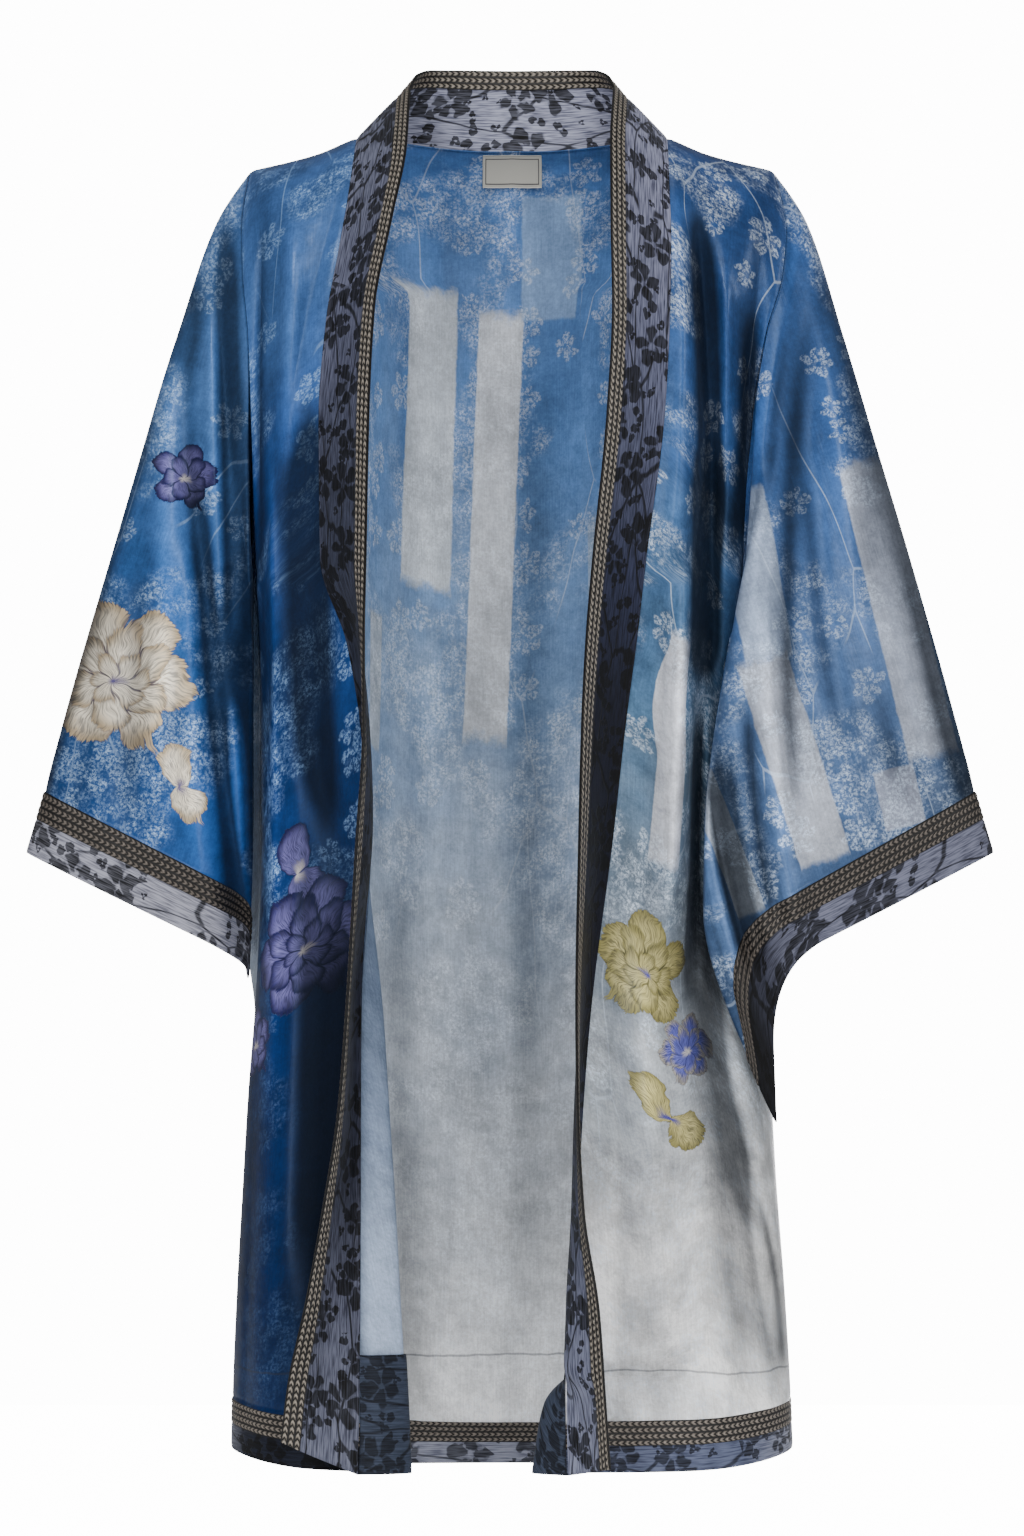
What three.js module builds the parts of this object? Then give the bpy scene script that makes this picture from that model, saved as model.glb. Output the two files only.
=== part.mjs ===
// Kimono jacket, worn form, open and hollow: back, two fronts, two sleeves, neckband, bands and braids.
// Millimetres, +Z up, front towards -Y, the wearer's left towards +X, origin between the shoulders.
import * as THREE from 'three';

// ---------- driving sizes ----------
const size = {
  panelWall: 1.6, // thickness of body and sleeve cloth
  bandWall: 2.0, // figured bands, folded double
  braidWall: 2.6, // rows of chain braid
  facingWall: 1.0,
  labelWall: 1.0,
  seamGap: 0.3,
  underarmGap: 2.2, // added to the armhole seam towards the underarm
  tipGap: 0.5, // added to each side of a cuff seam at the sleeve's low tip
  frontDrop: 948, // shoulder level to front hem
  backDrop: 958, // shoulder level to back hem
  sideDrop: 936, // shoulder level to hem at the side seams
  capDepth: 110, // height of the rounding from shoulder line to chest or back
  armholeDrop: 315, // depth of the armhole
  armholeFlare: 62, // half of the armhole's opening from front to back
  armholeRound: 0.6, // power of its rounding towards shoulder and underarm
  cuffRound: 0.8, // the same for a sleeve's own rings
  riseFade: 250, // drop over which the shoulder slope dies out
  neckHalfWidth: 111, // neck seam's half width at the shoulder line
  neckBackReach: 55, // how far the neck seam runs back
  bandWidth: 53, // neckband with its braid
  neckBraidWidth: 13,
  hemBraidTop: 36, // from the hem up
  hemBandTop: 19,
  facingTop: 84,
};

// ---------- tables, a row for each section ----------
// Shoulder line: how high the ridge lies at a distance from the centre.
const shoulderLine = [
  { across: 0, rise: 20 }, { across: 72, rise: 16 }, { across: 111, rise: 4 }, { across: 140, rise: -8 },
  { across: 162, rise: -14 }, { across: 188, rise: -20 }, { across: 210, rise: -27 },
];

// Fronts in plan, by drop: across = distance from the centre, out = distance forward.
// side seam (armhole line above it), flank, middle, turn (the fold), seam (neckband), edge (free edge), lift of the edge.
const columns = [
  'drop', 'sideX', 'flankX', 'flankY', 'midX', 'midY', 'turnX', 'turnY', 'seamX', 'seamY', 'edgeX', 'edgeY', 'lift',
];
const rowsOf = (names, lines) => lines.map((line) => Object.fromEntries(names.map((name, i) => [name, line[i]])));
const frontRightRows = rowsOf(columns, [
  [0, 188, 176, 68, 158, 76, 130, 79, 111, 80, 73, 98, 25],
  [40, 193, 178, 66, 160, 75, 134, 80, 116, 82, 75, 110, 19],
  [80, 192, 178, 66, 162, 75, 140, 80, 123, 84, 85, 118, 10],
  [130, 188, 178, 67, 165, 76, 148, 82, 132, 86, 97, 124, 3],
  [200, 186, 178, 66, 166, 78, 151, 85, 137, 90, 101, 127, 0],
  [300, 184, 178, 52, 168, 74, 151, 86, 136, 92, 103, 133, 0],
  [360, 181, 176, 38, 162, 70, 136, 88, 117, 95, 104, 146, 0],
  [420, 180, 175, 36, 158, 72, 124, 89, 107, 99, 104, 152, 0],
  [500, 180, 175, 36, 152, 74, 108, 88, 101, 102, 109, 154, 0],
  [616, 184, 179, 38, 150, 76, 94, 91, 107, 104, 116, 156, 0],
  [690, 189, 184, 40, 150, 79, 89, 95, 107, 107, 122, 157, 0],
  [760, 193, 187, 42, 152, 82, 84, 98, 107, 112, 133, 157, 1],
  [830, 197, 191, 44, 153, 84, 80, 101, 107, 117, 145, 153, 5],
  [900, 200, 194, 45, 154, 85, 76, 104, 108, 121, 158, 138, 14],
  [948, 201, 195, 46, 154, 86, 74, 106, 109, 123, 163, 132, 21],
]);
const frontLeftRows = rowsOf(columns, [
  [0, 188, 176, 68, 158, 76, 130, 80, 111, 82, 73, 100, 25],
  [40, 196, 178, 64, 158, 74, 130, 82, 112, 84, 70, 112, 19],
  [80, 193, 178, 62, 158, 73, 130, 84, 113, 87, 70, 118, 10],
  [130, 181, 172, 62, 156, 75, 130, 87, 112, 91, 71, 123, 3],
  [200, 171, 166, 60, 152, 72, 128, 90, 108, 96, 67, 130, 0],
  [300, 166, 161, 44, 146, 62, 122, 93, 95, 102, 57, 139, 0],
  [360, 165, 158, 24, 143, 44, 118, 94, 88, 105, 52, 144, 0],
  [420, 165, 156, 22, 138, 46, 115, 94, 80, 107, 49, 149, 0],
  [500, 166, 157, 22, 136, 48, 108, 96, 71, 109, 47, 157, 0],
  [616, 172, 164, 28, 142, 60, 96, 100, 56, 112, 45, 163, 0],
  [690, 180, 173, 36, 148, 74, 90, 102, 50, 113, 46, 166, 0],
  [760, 190, 184, 42, 152, 80, 86, 104, 46, 114, 50, 167, 0],
  [830, 195, 189, 44, 154, 84, 82, 105, 40, 116, 61, 164, 0],
  [900, 199, 193, 45, 155, 86, 28, 112, 39, 122, 66, 166, 2],
  [948, 201, 195, 46, 156, 87, 20, 112, 40, 124, 69, 168, 8],
]);

// Back in plan, by drop: reach = how far the centre back lies behind the side seams.
const backRows = rowsOf(['drop', 'reach'], [
  [0, 95], [110, 98], [250, 104], [450, 100], [650, 98], [958, 104],
]);
const backSquareness = 2.3;

// Neckband round the back neck, by quarter turn from shoulder (1) to centre back (0): its free edge.
const collarRows = rowsOf(['turn', 'edgeX', 'edgeY', 'edgeZ'], [
  [0, 0, 63, 58], [0.35, 36, 57, 58], [0.6, 58, 43, 57], [0.8, 67, 24, 53], [1, 73, 0, 41],
]);

// Folds of the fronts: a trough (deep > 0) or ridge (deep < 0) along a curve through three places.
const foldColumns = ['dropA', 'acrossA', 'dropB', 'acrossB', 'dropC', 'acrossC', 'wide', 'deep'];
const frontRightFolds = rowsOf(foldColumns, [
  [60, 168, 150, 171, 300, 169, 11, 7],
  [200, 152, 330, 154, 470, 150, 13, 10],
  [430, 166, 650, 170, 930, 178, 18, -5],
  [560, 128, 740, 132, 948, 128, 17, 8],
]);
const frontLeftFolds = rowsOf(foldColumns, [
  [50, 130, 130, 138, 290, 142, 10, 14],
  [110, 165, 190, 161, 300, 158, 8, 6],
  [560, 118, 700, 140, 900, 172, 14, 9],
  [620, 152, 760, 168, 930, 184, 10, -5],
  [700, 96, 820, 106, 948, 104, 20, 6],
]);
const backFolds = rowsOf(foldColumns, [
  [60, -70, 300, -60, 700, -64, 16, 6],
  [120, 22, 420, 14, 900, 8, 18, -6],
  [80, 96, 360, 84, 760, 92, 16, 7],
  [380, -120, 640, -116, 950, -110, 22, 9],
  [420, 52, 700, 60, 950, 70, 18, 7],
  [460, 128, 700, 124, 950, 118, 20, -6],
]);

// Sleeves in the front plane, by way from armhole (0) to cuff edge (1): outer line, knee and low end.
const sleeveColumns = ['way', 'outX', 'outZ', 'kneeX', 'kneeZ', 'kneeY', 'lowX', 'lowZ', 'lowY', 'half'];
const sleeveRightRows = rowsOf(sleeveColumns, [
  [0, 189, -20, 187, -232, 0, 187, -313, 0, 62],
  [0.1, 213, -58, 189, -288, 0, 188, -342, 0, 59],
  [0.25, 240, -138, 190, -344, 2, 188, -380, 0, 55],
  [0.4, 264, -216, 190, -392, 4, 188, -422, 0, 51],
  [0.55, 287, -292, 190, -438, 6, 188, -464, 0, 48],
  [0.7, 309, -368, 190, -484, 8, 188, -506, 2, 45],
  [0.88, 336, -466, 191, -540, 8, 189, -556, 4, 42],
  [1, 349, -510, 192, -586, 8, 190, -600, 4, 40],
]);
const sleeveLeftRows = rowsOf(sleeveColumns, [
  [0, 189, -20, 170, -232, 0, 169, -313, 0, 62],
  [0.1, 213, -58, 177, -268, 8, 173, -345, 2, 58],
  [0.25, 238, -138, 172, -328, 34, 169, -384, 26, 52],
  [0.4, 261, -216, 163, -384, 60, 158, -428, 52, 44],
  [0.55, 284, -292, 154, -432, 74, 148, -480, 72, 38],
  [0.7, 306, -368, 145, -484, 80, 143, -556, 80, 36],
  [0.88, 333, -466, 150, -566, 80, 170, -655, 62, 36],
  [1, 346, -510, 184, -590, 62, 189, -702, 44, 36],
]);
const kneePlace = 0.7; // share of a ring's run that lies above the knee
const kneeSpread = 0.16; // share of the run over which the knee is rounded
const kneeRound = 0.04; // and how much of the bend the rounding takes off
const lobeThin = 0.72; // how much flatter the sleeve is below the knee
const blendWay = 0.3; // way over which the armhole's shape turns into the sleeve's own
const braidWay = 0.88; // where the cuff's braid starts
const cuffWay = 0.93; // where the cuff's band starts

// ---------- small helpers ----------
const smooth = (low, high, x) => {
  const t = Math.min(1, Math.max(0, (x - low) / (high - low)));
  return t * t * (3 - 2 * t);
};

// Smooth reading of one column of a table, with no overshoot between rows.
function read(rows, key, at, name) {
  const x = rows.map((row) => row[key]);
  const y = rows.map((row) => row[name]);
  const last = x.length - 1;
  if (at <= x[0]) return y[0];
  if (at >= x[last]) return y[last];
  const rate = x.slice(1).map((value, i) => (y[i + 1] - y[i]) / (value - x[i]));
  const slope = x.map((value, i) => {
    if (i === 0) return rate[0];
    if (i === last) return rate[last - 1];
    const [a, b] = [rate[i - 1], rate[i]];
    return a * b <= 0 ? 0 : (2 * a * b) / (a + b);
  });
  const i = x.findIndex((value, k) => k < last && at < x[k + 1]);
  const span = x[i + 1] - x[i];
  const t = (at - x[i]) / span;
  const [t2, t3] = [t * t, t * t * t];
  return (2 * t3 - 3 * t2 + 1) * y[i] + (t3 - 2 * t2 + t) * span * slope[i]
    + (3 * t2 - 2 * t3) * y[i + 1] + (t3 - t2) * span * slope[i + 1];
}

const drops = { front: size.frontDrop, back: size.backDrop };

// Height of a point: the shoulder slope fades out, and the hem is a little shorter at the sides.
function levelAt(across, sideAcross, drop, hemDrop) {
  const rise = read(shoulderLine, 'across', Math.abs(across), 'rise') * (1 - smooth(0, size.riseFade, drop));
  const share = drop / size.frontDrop;
  const toSide = Math.min(1, Math.abs(across / sideAcross)) ** 6;
  const hemLevel = hemDrop + (size.sideDrop - hemDrop) * toSide;
  return rise - drop * (1 + (hemLevel / size.frontDrop - 1) * share * share);
}

// How far a fold pushes the cloth in at a place: a soft trough along a curve through three points.
function foldDepth(folds, across, drop) {
  let deep = 0;
  for (const fold of folds) {
    const t = (drop - fold.dropA) / (fold.dropC - fold.dropA);
    const middle = (fold.dropB - fold.dropA) / (fold.dropC - fold.dropA);
    const line = fold.acrossA + (fold.acrossC - fold.acrossA) * t;
    const bend = fold.acrossB - fold.acrossA - (fold.acrossC - fold.acrossA) * middle;
    const centre = line + bend * (t * (1 - t)) / (middle * (1 - middle));
    const ends = smooth(-0.12, 0.18, t) * (1 - smooth(0.82, 1.12, t));
    deep += fold.deep * ends * Math.exp(-(((across - centre) / fold.wide) ** 2));
  }
  return deep;
}

const armholeFront = (drop) => {
  const share = Math.min(1, Math.max(0, drop / size.armholeDrop));
  return size.armholeFlare * (4 * share * (1 - share)) ** size.armholeRound;
};

// The way down a panel: 0..1 runs round the cap from the shoulder line, 1..2 on to the hem.
const dropAt = (down) => {
  if (down < 1) return size.capDepth * (1 - Math.cos(Math.max(0, down) * Math.PI / 2));
  return size.capDepth + (down - 1) * (size.frontDrop - size.capDepth);
};
const downAt = (drop) => 1 + (drop - size.capDepth) / (size.frontDrop - size.capDepth);

// ---------- the surfaces ----------
// A front: across 0..4 is the panel from side seam to neckband seam, 4..5 the neckband to its free edge.
function frontPoint(front, across, down) {
  const drop = dropAt(down);
  const get = (name) => read(front.rows, 'drop', drop, name);
  const cap = down < 1 ? Math.sin(Math.max(0, down) * Math.PI / 2) : 1;
  const keys = [
    [get('sideX'), armholeFront(drop)],
    [get('flankX'), Math.max(get('flankY') * cap, armholeFront(drop) * 0.9)],
    [get('midX'), get('midY') * cap],
    [get('turnX'), get('turnY') * cap],
    [get('seamX'), get('seamY') * cap],
    [get('edgeX'), get('edgeY') * cap],
  ];
  const span = keys.slice(1).map((key, i) => Math.hypot(key[0] - keys[i][0], key[1] - keys[i][1]));
  const chord = (i, axis) => (keys[i + 1][axis] - keys[i][axis]) / span[i];
  const tangent = (i, axis) => {
    if (i === 0) return drop > size.armholeDrop ? [0, 1][axis] : chord(0, axis);
    if (i === 5) return chord(4, axis);
    return (chord(i - 1, axis) * span[i] + chord(i, axis) * span[i - 1]) / (span[i - 1] + span[i]);
  };
  const i = Math.min(4, Math.max(0, Math.floor(across)));
  const t = across - i;
  const [t2, t3] = [t * t, t * t * t];
  const [x, out] = [0, 1].map((axis) => (2 * t3 - 3 * t2 + 1) * keys[i][axis]
    + (t3 - 2 * t2 + t) * span[i] * tangent(i, axis)
    + (3 * t2 - 2 * t3) * keys[i + 1][axis] + (t3 - t2) * span[i] * tangent(i + 1, axis));
  const lift = get('lift') * Math.max(0, across - 4);
  const fade = smooth(0, 45, out) * cap;
  const y = -(out - foldDepth(front.folds, x, drop) * fade);
  return new THREE.Vector3(front.side * x, y, levelAt(x, keys[0][0], drop, drops.front) + lift);
}

// The back: across -1..1 from the wearer's right side seam to the left one.
function backPoint(across, down) {
  const start = neckStart(across);
  const way = start + down * (2 - start) / 2;
  return backSurface(across, way);
}

function backSurface(across, down) {
  const drop = dropAt(down);
  const side = read(across < 0 ? frontRightRows : frontLeftRows, 'drop', drop, 'sideX');
  const cap = down < 1 ? Math.sin(Math.max(0, down) * Math.PI / 2) : 1;
  const angle = across * Math.PI / 2;
  const power = 2 / backSquareness;
  const x = Math.sign(across) * side * Math.abs(Math.sin(angle)) ** power;
  const flare = armholeFront(drop);
  const bulge = Math.max(0, Math.cos(angle)) ** power;
  const reach = read(backRows, 'drop', drop, 'reach') * cap * bulge;
  const fade = smooth(10, 60, reach) * cap;
  const y = flare * Math.abs(across) ** 5 + reach - foldDepth(backFolds, x, drop) * fade;
  return new THREE.Vector3(x, y, levelAt(x, side, drop, drops.back));
}

// Where the back's top edge leaves the shoulder line for the neck seam.
function neckStart(across) {
  const x = backSurface(across, 0).x;
  if (Math.abs(x) >= size.neckHalfWidth) return 0;
  const seam = size.neckBackReach * Math.sqrt(1 - (x / size.neckHalfWidth) ** 2);
  let [low, high] = [0, 1];
  for (let i = 0; i < 24; i += 1) {
    const middle = (low + high) / 2;
    if (backSurface(across, middle).y < seam) low = middle;
    else high = middle;
  }
  return (low + high) / 2;
}

// Which place across the back has this distance from the centre at the shoulder line.
function backAcross(x) {
  const share = Math.abs(x) / backSurface(1, 0).x;
  return Math.sign(x) * Math.asin(share ** (backSquareness / 2)) * 2 / Math.PI;
}

// A value on a sleeve's ring: from the outer line to the knee and on to the low end, the knee rounded.
function kneeBlend(run, out, knee, low) {
  const upper = Math.min(1, run / kneePlace);
  const lower = Math.max(0, (run - kneePlace) / (1 - kneePlace));
  const round = kneeRound * Math.max(0, 1 - Math.abs(run - kneePlace) / kneeSpread) ** 2;
  return out + (knee - out) * upper + (low - knee) * lower
    + round * ((out - knee) / kneePlace + (low - knee) / (1 - kneePlace));
}

// A sleeve: way 0..1 from armhole to cuff edge, around 0..1 from the shoulder by the front and back up again.
function sleevePoint(sleeve, way, around) {
  const get = (name) => read(sleeve.rows, 'way', way, name);
  const first = sleeve.rows[0];
  const angle = around * 2 * Math.PI;
  const run = (1 - Math.cos(angle)) / 2;
  const facing = Math.sin(angle) >= 0 ? 1 : -1;
  const bulge = (power) => facing * Math.abs(Math.sin(angle)) ** power;
  const armholePower = 2 * size.armholeRound;
  const power = armholePower + (size.cuffRound - armholePower) * smooth(0, blendWay, way);
  const thin = 1 - lobeThin * smooth(kneePlace - 0.12, kneePlace + 0.16, run) * smooth(0.05, 0.5, way);
  const own = [
    kneeBlend(run, get('outX'), get('kneeX'), get('lowX')),
    kneeBlend(run, 0, get('kneeY'), get('lowY')) + get('half') * thin * bulge(power),
    kneeBlend(run, get('outZ'), get('kneeZ'), get('lowZ')),
  ];
  const ownStart = [
    kneeBlend(run, first.outX, first.kneeX, first.lowX),
    first.half * bulge(armholePower),
    kneeBlend(run, first.outZ, first.kneeZ, first.lowZ),
  ];
  const near = 1 - smooth(0, blendWay, way);
  const start = armholePoint(sleeve, around, run);
  const [x, out, z] = own.map((value, axis) => value + (start[axis] - ownStart[axis]) * near);
  return new THREE.Vector3(sleeve.side * x, -out, z);
}

// The armhole line that the sleeve starts from, a seam gap outside the panels' edge.
function armholePoint(sleeve, around, run) {
  const drop = run * size.armholeDrop;
  const side = read(sleeve.front.rows, 'drop', drop, 'sideX');
  const facing = Math.sin(around * 2 * Math.PI) >= 0 ? 1 : -1;
  const hemDrop = facing > 0 ? drops.front : drops.back;
  const gap = size.seamGap + size.underarmGap * smooth(0.2, 0.95, run);
  return [side + gap, facing * armholeFront(drop), levelAt(side, side, drop, hemDrop)];
}

// ---------- walls ----------
const unit = (a, b) => b.clone().sub(a).normalize();

// A closed wall on a grid: spot(i, j) gives the point and the outward normal at a column and a row.
function clothWall(name, colour, spot, across, down, wall, { ring = false, shift = 0 } = {}) {
  const outer = [];
  const inner = [];
  const wide = ring ? across : across + 1;
  for (let j = 0; j <= down; j += 1) {
    for (let i = 0; i < wide; i += 1) {
      const [point, normal] = spot(i, j);
      outer.push(point.clone().addScaledVector(normal, shift + wall / 2));
      inner.push(point.clone().addScaledVector(normal, shift - wall / 2));
    }
  }
  const count = outer.length;
  const faces = [];
  const quad = (a, b, c, d) => faces.push(a, b, c, a, c, d);
  const index = (i, j) => j * wide + (i % wide);
  for (let j = 0; j < down; j += 1) {
    for (let i = 0; i < across; i += 1) {
      const [a, b, c, d] = [index(i, j), index(i, j + 1), index(i + 1, j + 1), index(i + 1, j)];
      quad(d, c, b, a);
      quad(b + count, c + count, d + count, a + count);
    }
  }
  for (let i = 0; i < across; i += 1) {
    const [a, b] = [index(i, 0), index(i + 1, 0)];
    const [c, d] = [index(i, down), index(i + 1, down)];
    if (ring && i >= across / 2) {
      quad(a, a + count, b + count, b);
      quad(c, d, d + count, c + count);
    } else {
      quad(b, a, a + count, b + count);
      quad(d, d + count, c + count, c);
    }
  }
  if (!ring) {
    for (let j = 0; j < down; j += 1) {
      const [a, b] = [index(0, j), index(0, j + 1)];
      quad(b, b + count, a + count, a);
      const [c, d] = [index(across, j), index(across, j + 1)];
      quad(d, c, c + count, d + count);
    }
  }
  const geometry = new THREE.BufferGeometry();
  const positions = [...outer, ...inner].flatMap((point) => point.toArray());
  geometry.setAttribute('position', new THREE.Float32BufferAttribute(positions, 3));
  geometry.setIndex(faces);
  if (volumeOf(positions, faces) < 0) geometry.setIndex(faces.reverse());
  geometry.computeVertexNormals();
  const mesh = new THREE.Mesh(geometry, material(colour));
  mesh.name = name;
  return mesh;
}

function volumeOf(positions, faces) {
  const point = (k) => new THREE.Vector3().fromArray(positions, faces[k] * 3);
  let sum = 0;
  for (let k = 0; k < faces.length; k += 3) sum += point(k).dot(point(k + 1).cross(point(k + 2)));
  return sum;
}

function material(colour) {
  return new THREE.MeshStandardMaterial({ color: colour, roughness: 0.45, metalness: 0 });
}

const colours = {
  front: 0x1f4a7c, frontPale: 0x8fa3bd, back: 0x7d93b0, sleeve: 0x3c5f93,
  band: 0x6b6c7e, cuff: 0x8b8b98, braid: 0x6f675f, facing: 0x33364a, label: 0xb5b2aa,
};

// Stations through given places, evenly split between each pair.
function through(places, parts) {
  const list = [];
  places.slice(1).forEach((place, k) => {
    for (let i = 0; i < parts[k]; i += 1) list.push(places[k] + (place - places[k]) * i / parts[k]);
  });
  list.push(places.at(-1));
  return list;
}

const half = size.seamGap / 2;

// The outward normal of a surface at a place, from its slopes on both sides.
function normalOf(pointAt, u, v, side, reach = 0.02) {
  const along = pointAt(u + reach, v).sub(pointAt(u - reach, v));
  const below = pointAt(u, v + reach / 2).sub(pointAt(u, v - reach / 2));
  return along.cross(below).normalize().multiplyScalar(side);
}

// A point moved half a seam gap towards another.
const drawnIn = (point, towards) => point.addScaledVector(unit(point, towards), half);

// ---------- the pieces ----------
const right = { side: -1, rows: frontRightRows, folds: frontRightFolds };
const left = { side: 1, rows: frontLeftRows, folds: frontLeftFolds };
const hemDown = (up) => downAt(size.frontDrop - up);
const panelEnd = hemDown(size.hemBraidTop);
const bandStart = hemDown(size.hemBandTop);
const bandShare = 1 - size.neckBraidWidth / size.bandWidth;
const armholeDown = downAt(size.armholeDrop);
const facingDown = hemDown(size.facingTop);
const panelDowns = [
  0, 0.15, 0.3, 0.45, 0.6, 0.8,
  ...through([1, armholeDown, 1.62, facingDown, panelEnd], [6, 5, 3, 2]),
];
const frontAcrosses = through([0, 1, 2, 3, 4], [4, 5, 6, 4]);
const neckAcross = backAcross(size.neckHalfWidth);
const backAcrosses = through([-1, -neckAcross, 0, neckAcross, 1], [8, 5, 5, 8]);
const armholeDowns = panelDowns.filter((down) => down <= armholeDown + 1e-6);
const up = new THREE.Vector3(0, 0, 1);

// Where the shoulder line meets the neckband, panels and band share one normal.
const neckPointNormal = (side) => new THREE.Vector3(side * 0.38, 0, 0.93).normalize();

function frontNormal(front, u, v) {
  if (v <= 0) return u >= 4 ? neckPointNormal(front.side) : up.clone();
  return normalOf((a, b) => frontPoint(front, a, b), Math.max(u, 0.02), Math.max(v, 0.02), front.side);
}

function frontPanel(name, colour, front) {
  const last = [frontAcrosses.length - 1, panelDowns.length - 1];
  const spot = (i, j) => {
    const [u, v] = [frontAcrosses[i], panelDowns[j]];
    const point = frontPoint(front, u, v);
    if (i === last[0]) drawnIn(point, frontPoint(front, u - 0.05, v));
    if (i === 0 && dropAt(v) > size.armholeDrop - 0.01) point.y -= half;
    if (j === 0) point.y = Math.min(point.y, -half);
    if (j === last[1]) drawnIn(point, frontPoint(front, u, v - 0.005));
    return [point, frontNormal(front, u, v)];
  };
  return clothWall(name, colour, spot, last[0], last[1], size.panelWall);
}

const backNormal = (u, v) => {
  const start = neckStart(u);
  if (v <= 0 && Math.abs(u) > neckAcross + 1e-6) return up.clone();
  const inside = Math.min(Math.max(u, -0.99), 0.99);
  const way = Math.max(start + v * (2 - start) / 2, 0.02);
  const own = normalOf(backSurface, inside, way, 1);
  return v <= 0 ? neckSeamNormal(u) : own;
};

// The neck seam's normal lies between the back panel's and the standing neckband's.
function neckSeamNormal(u) {
  if (Math.abs(u) > neckAcross - 1e-6) return neckPointNormal(Math.sign(u));
  const panel = normalOf(backSurface, u, Math.max(neckStart(u), 0.02), 1);
  const band = normalOf((a, b) => collarPoint(a, 0.3 - b), u, 0.1, 1);
  return panel.add(band).normalize();
}

function backPanel() {
  const last = [backAcrosses.length - 1, panelDowns.length - 1];
  const spot = (i, j) => {
    const [u, v] = [backAcrosses[i], panelDowns[j]];
    const point = backPoint(u, v);
    if (Math.abs(u) === 1 && dropAt(v) > size.armholeDrop - 0.01) point.y += half;
    if (j === 0) point.y = Math.max(point.y, half);
    if (j === last[1]) drawnIn(point, backPoint(u, v - 0.005));
    return [point, backNormal(u, v)];
  };
  return clothWall('back', colours.back, spot, last[0], last[1], size.panelWall);
}

// The neckband's back part: over the neck seam at this place of the back, rising to its free edge.
function collarPoint(u, rise) {
  const seam = backPoint(u, 0);
  const turn = Math.min(1, Math.abs(seam.x) / size.neckHalfWidth);
  const quarter = Math.asin(turn) * 2 / Math.PI;
  const edge = new THREE.Vector3(
    Math.sign(seam.x) * read(collarRows, 'turn', quarter, 'edgeX'),
    read(collarRows, 'turn', quarter, 'edgeY'),
    read(collarRows, 'turn', quarter, 'edgeZ'),
  );
  return seam.lerp(edge, rise);
}

// Neckband stations: up the right front, round the neck and down the left front.
const bandDowns = [...panelDowns.slice(1), bandStart, 2];
const neckPlaces = backAcrosses.filter((place) => Math.abs(place) <= neckAcross + 1e-6);
const bandStations = [
  ...[...bandDowns].reverse().map((down) => ({ front: right, down })),
  ...neckPlaces.map((place) => ({ place })),
  ...bandDowns.map((down) => ({ front: left, down })),
];

function bandPoint({ front, down, place }, share) {
  if (front) return frontPoint(front, 4 + share, down);
  return collarPoint(place, share);
}

function bandNormal({ front, down, place }, share) {
  if (front) return frontNormal(front, 4 + share, down);
  if (share === 0) return neckSeamNormal(place);
  return normalOf((a, b) => collarPoint(a, share - b), place, 0, 1);
}

function neckStrip(name, colour, from, to, parts, wall) {
  const spot = (i, j) => {
    const station = bandStations[i];
    const share = from + (to - from) * j / parts;
    const point = bandPoint(station, share);
    if (j === 0) drawnIn(point, bandPoint(station, share + 0.05));
    if (j === parts && to < 1) drawnIn(point, bandPoint(station, share - 0.05));
    return [point, bandNormal(station, share)];
  };
  return clothWall(name, colour, spot, bandStations.length - 1, parts, wall);
}

// A strip round the hem: right front from the neckband, back, left front.
const hemStops = [
  ...[...frontAcrosses].reverse().map((u) => ({ front: right, u })),
  ...backAcrosses.slice(1, -1).map((u) => ({ u })),
  ...frontAcrosses.map((u) => ({ front: left, u })),
];
const hemPoint = ({ front, u }, v) => (front ? frontPoint(front, u, v) : backPoint(u, v));

function hemStrip(name, colour, from, to, wall) {
  const last = hemStops.length - 1;
  const spot = (i, j) => {
    const stop = hemStops[i];
    const v = j ? to : from;
    const point = hemPoint(stop, v);
    if (j === 0) drawnIn(point, hemPoint(stop, v + 0.01));
    if (j === 1 && to < 2) drawnIn(point, hemPoint(stop, v - 0.01));
    if (i === 0 || i === last) drawnIn(point, frontPoint(stop.front, 3.95, v));
    return [point, stop.front ? frontNormal(stop.front, stop.u, v) : backNormal(stop.u, v)];
  };
  return clothWall(name, colour, spot, last, 1, wall);
}

// A sleeve's rings run from the shoulder by the front to the underarm and back up, at the panels' own rows.
const runOf = (down) => dropAt(down) / size.armholeDrop;
const aroundOf = (down) => Math.acos(Math.max(-1, 1 - 2 * runOf(down))) / (2 * Math.PI);
const arounds = [
  ...armholeDowns.map((down) => ({ down, around: aroundOf(down) })),
  ...armholeDowns.slice(1, -1).reverse().map((down) => ({ down, around: 1 - aroundOf(down) })),
];

// The first ring takes the panels' own normals, so that both walls meet square.
function sleeveNormal(sleeve, way, { down, around }) {
  if (way > 0) return normalOf((a, b) => sleevePoint(sleeve, b, a), around, way, sleeve.side, 0.01);
  return around <= 0.5 ? frontNormal(sleeve.front, 0, down) : backNormal(sleeve.side, down);
}

// Half a seam gap along a sleeve, measured square to the ring.
function sleeveShift(sleeve, way, around, step) {
  const point = sleevePoint(sleeve, way, around);
  const forth = sleevePoint(sleeve, way + step, around).sub(point).normalize();
  const slants = [-0.04, 0.04].map((turn) => {
    const ringwards = sleevePoint(sleeve, way, around + turn).sub(point).normalize();
    return forth.clone().cross(ringwards).length();
  });
  const tip = size.tipGap * smooth(0.36, 0.5, Math.min(around, 1 - around));
  return point.addScaledVector(forth, half / Math.max(0.12, Math.min(...slants)) + tip);
}

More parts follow.
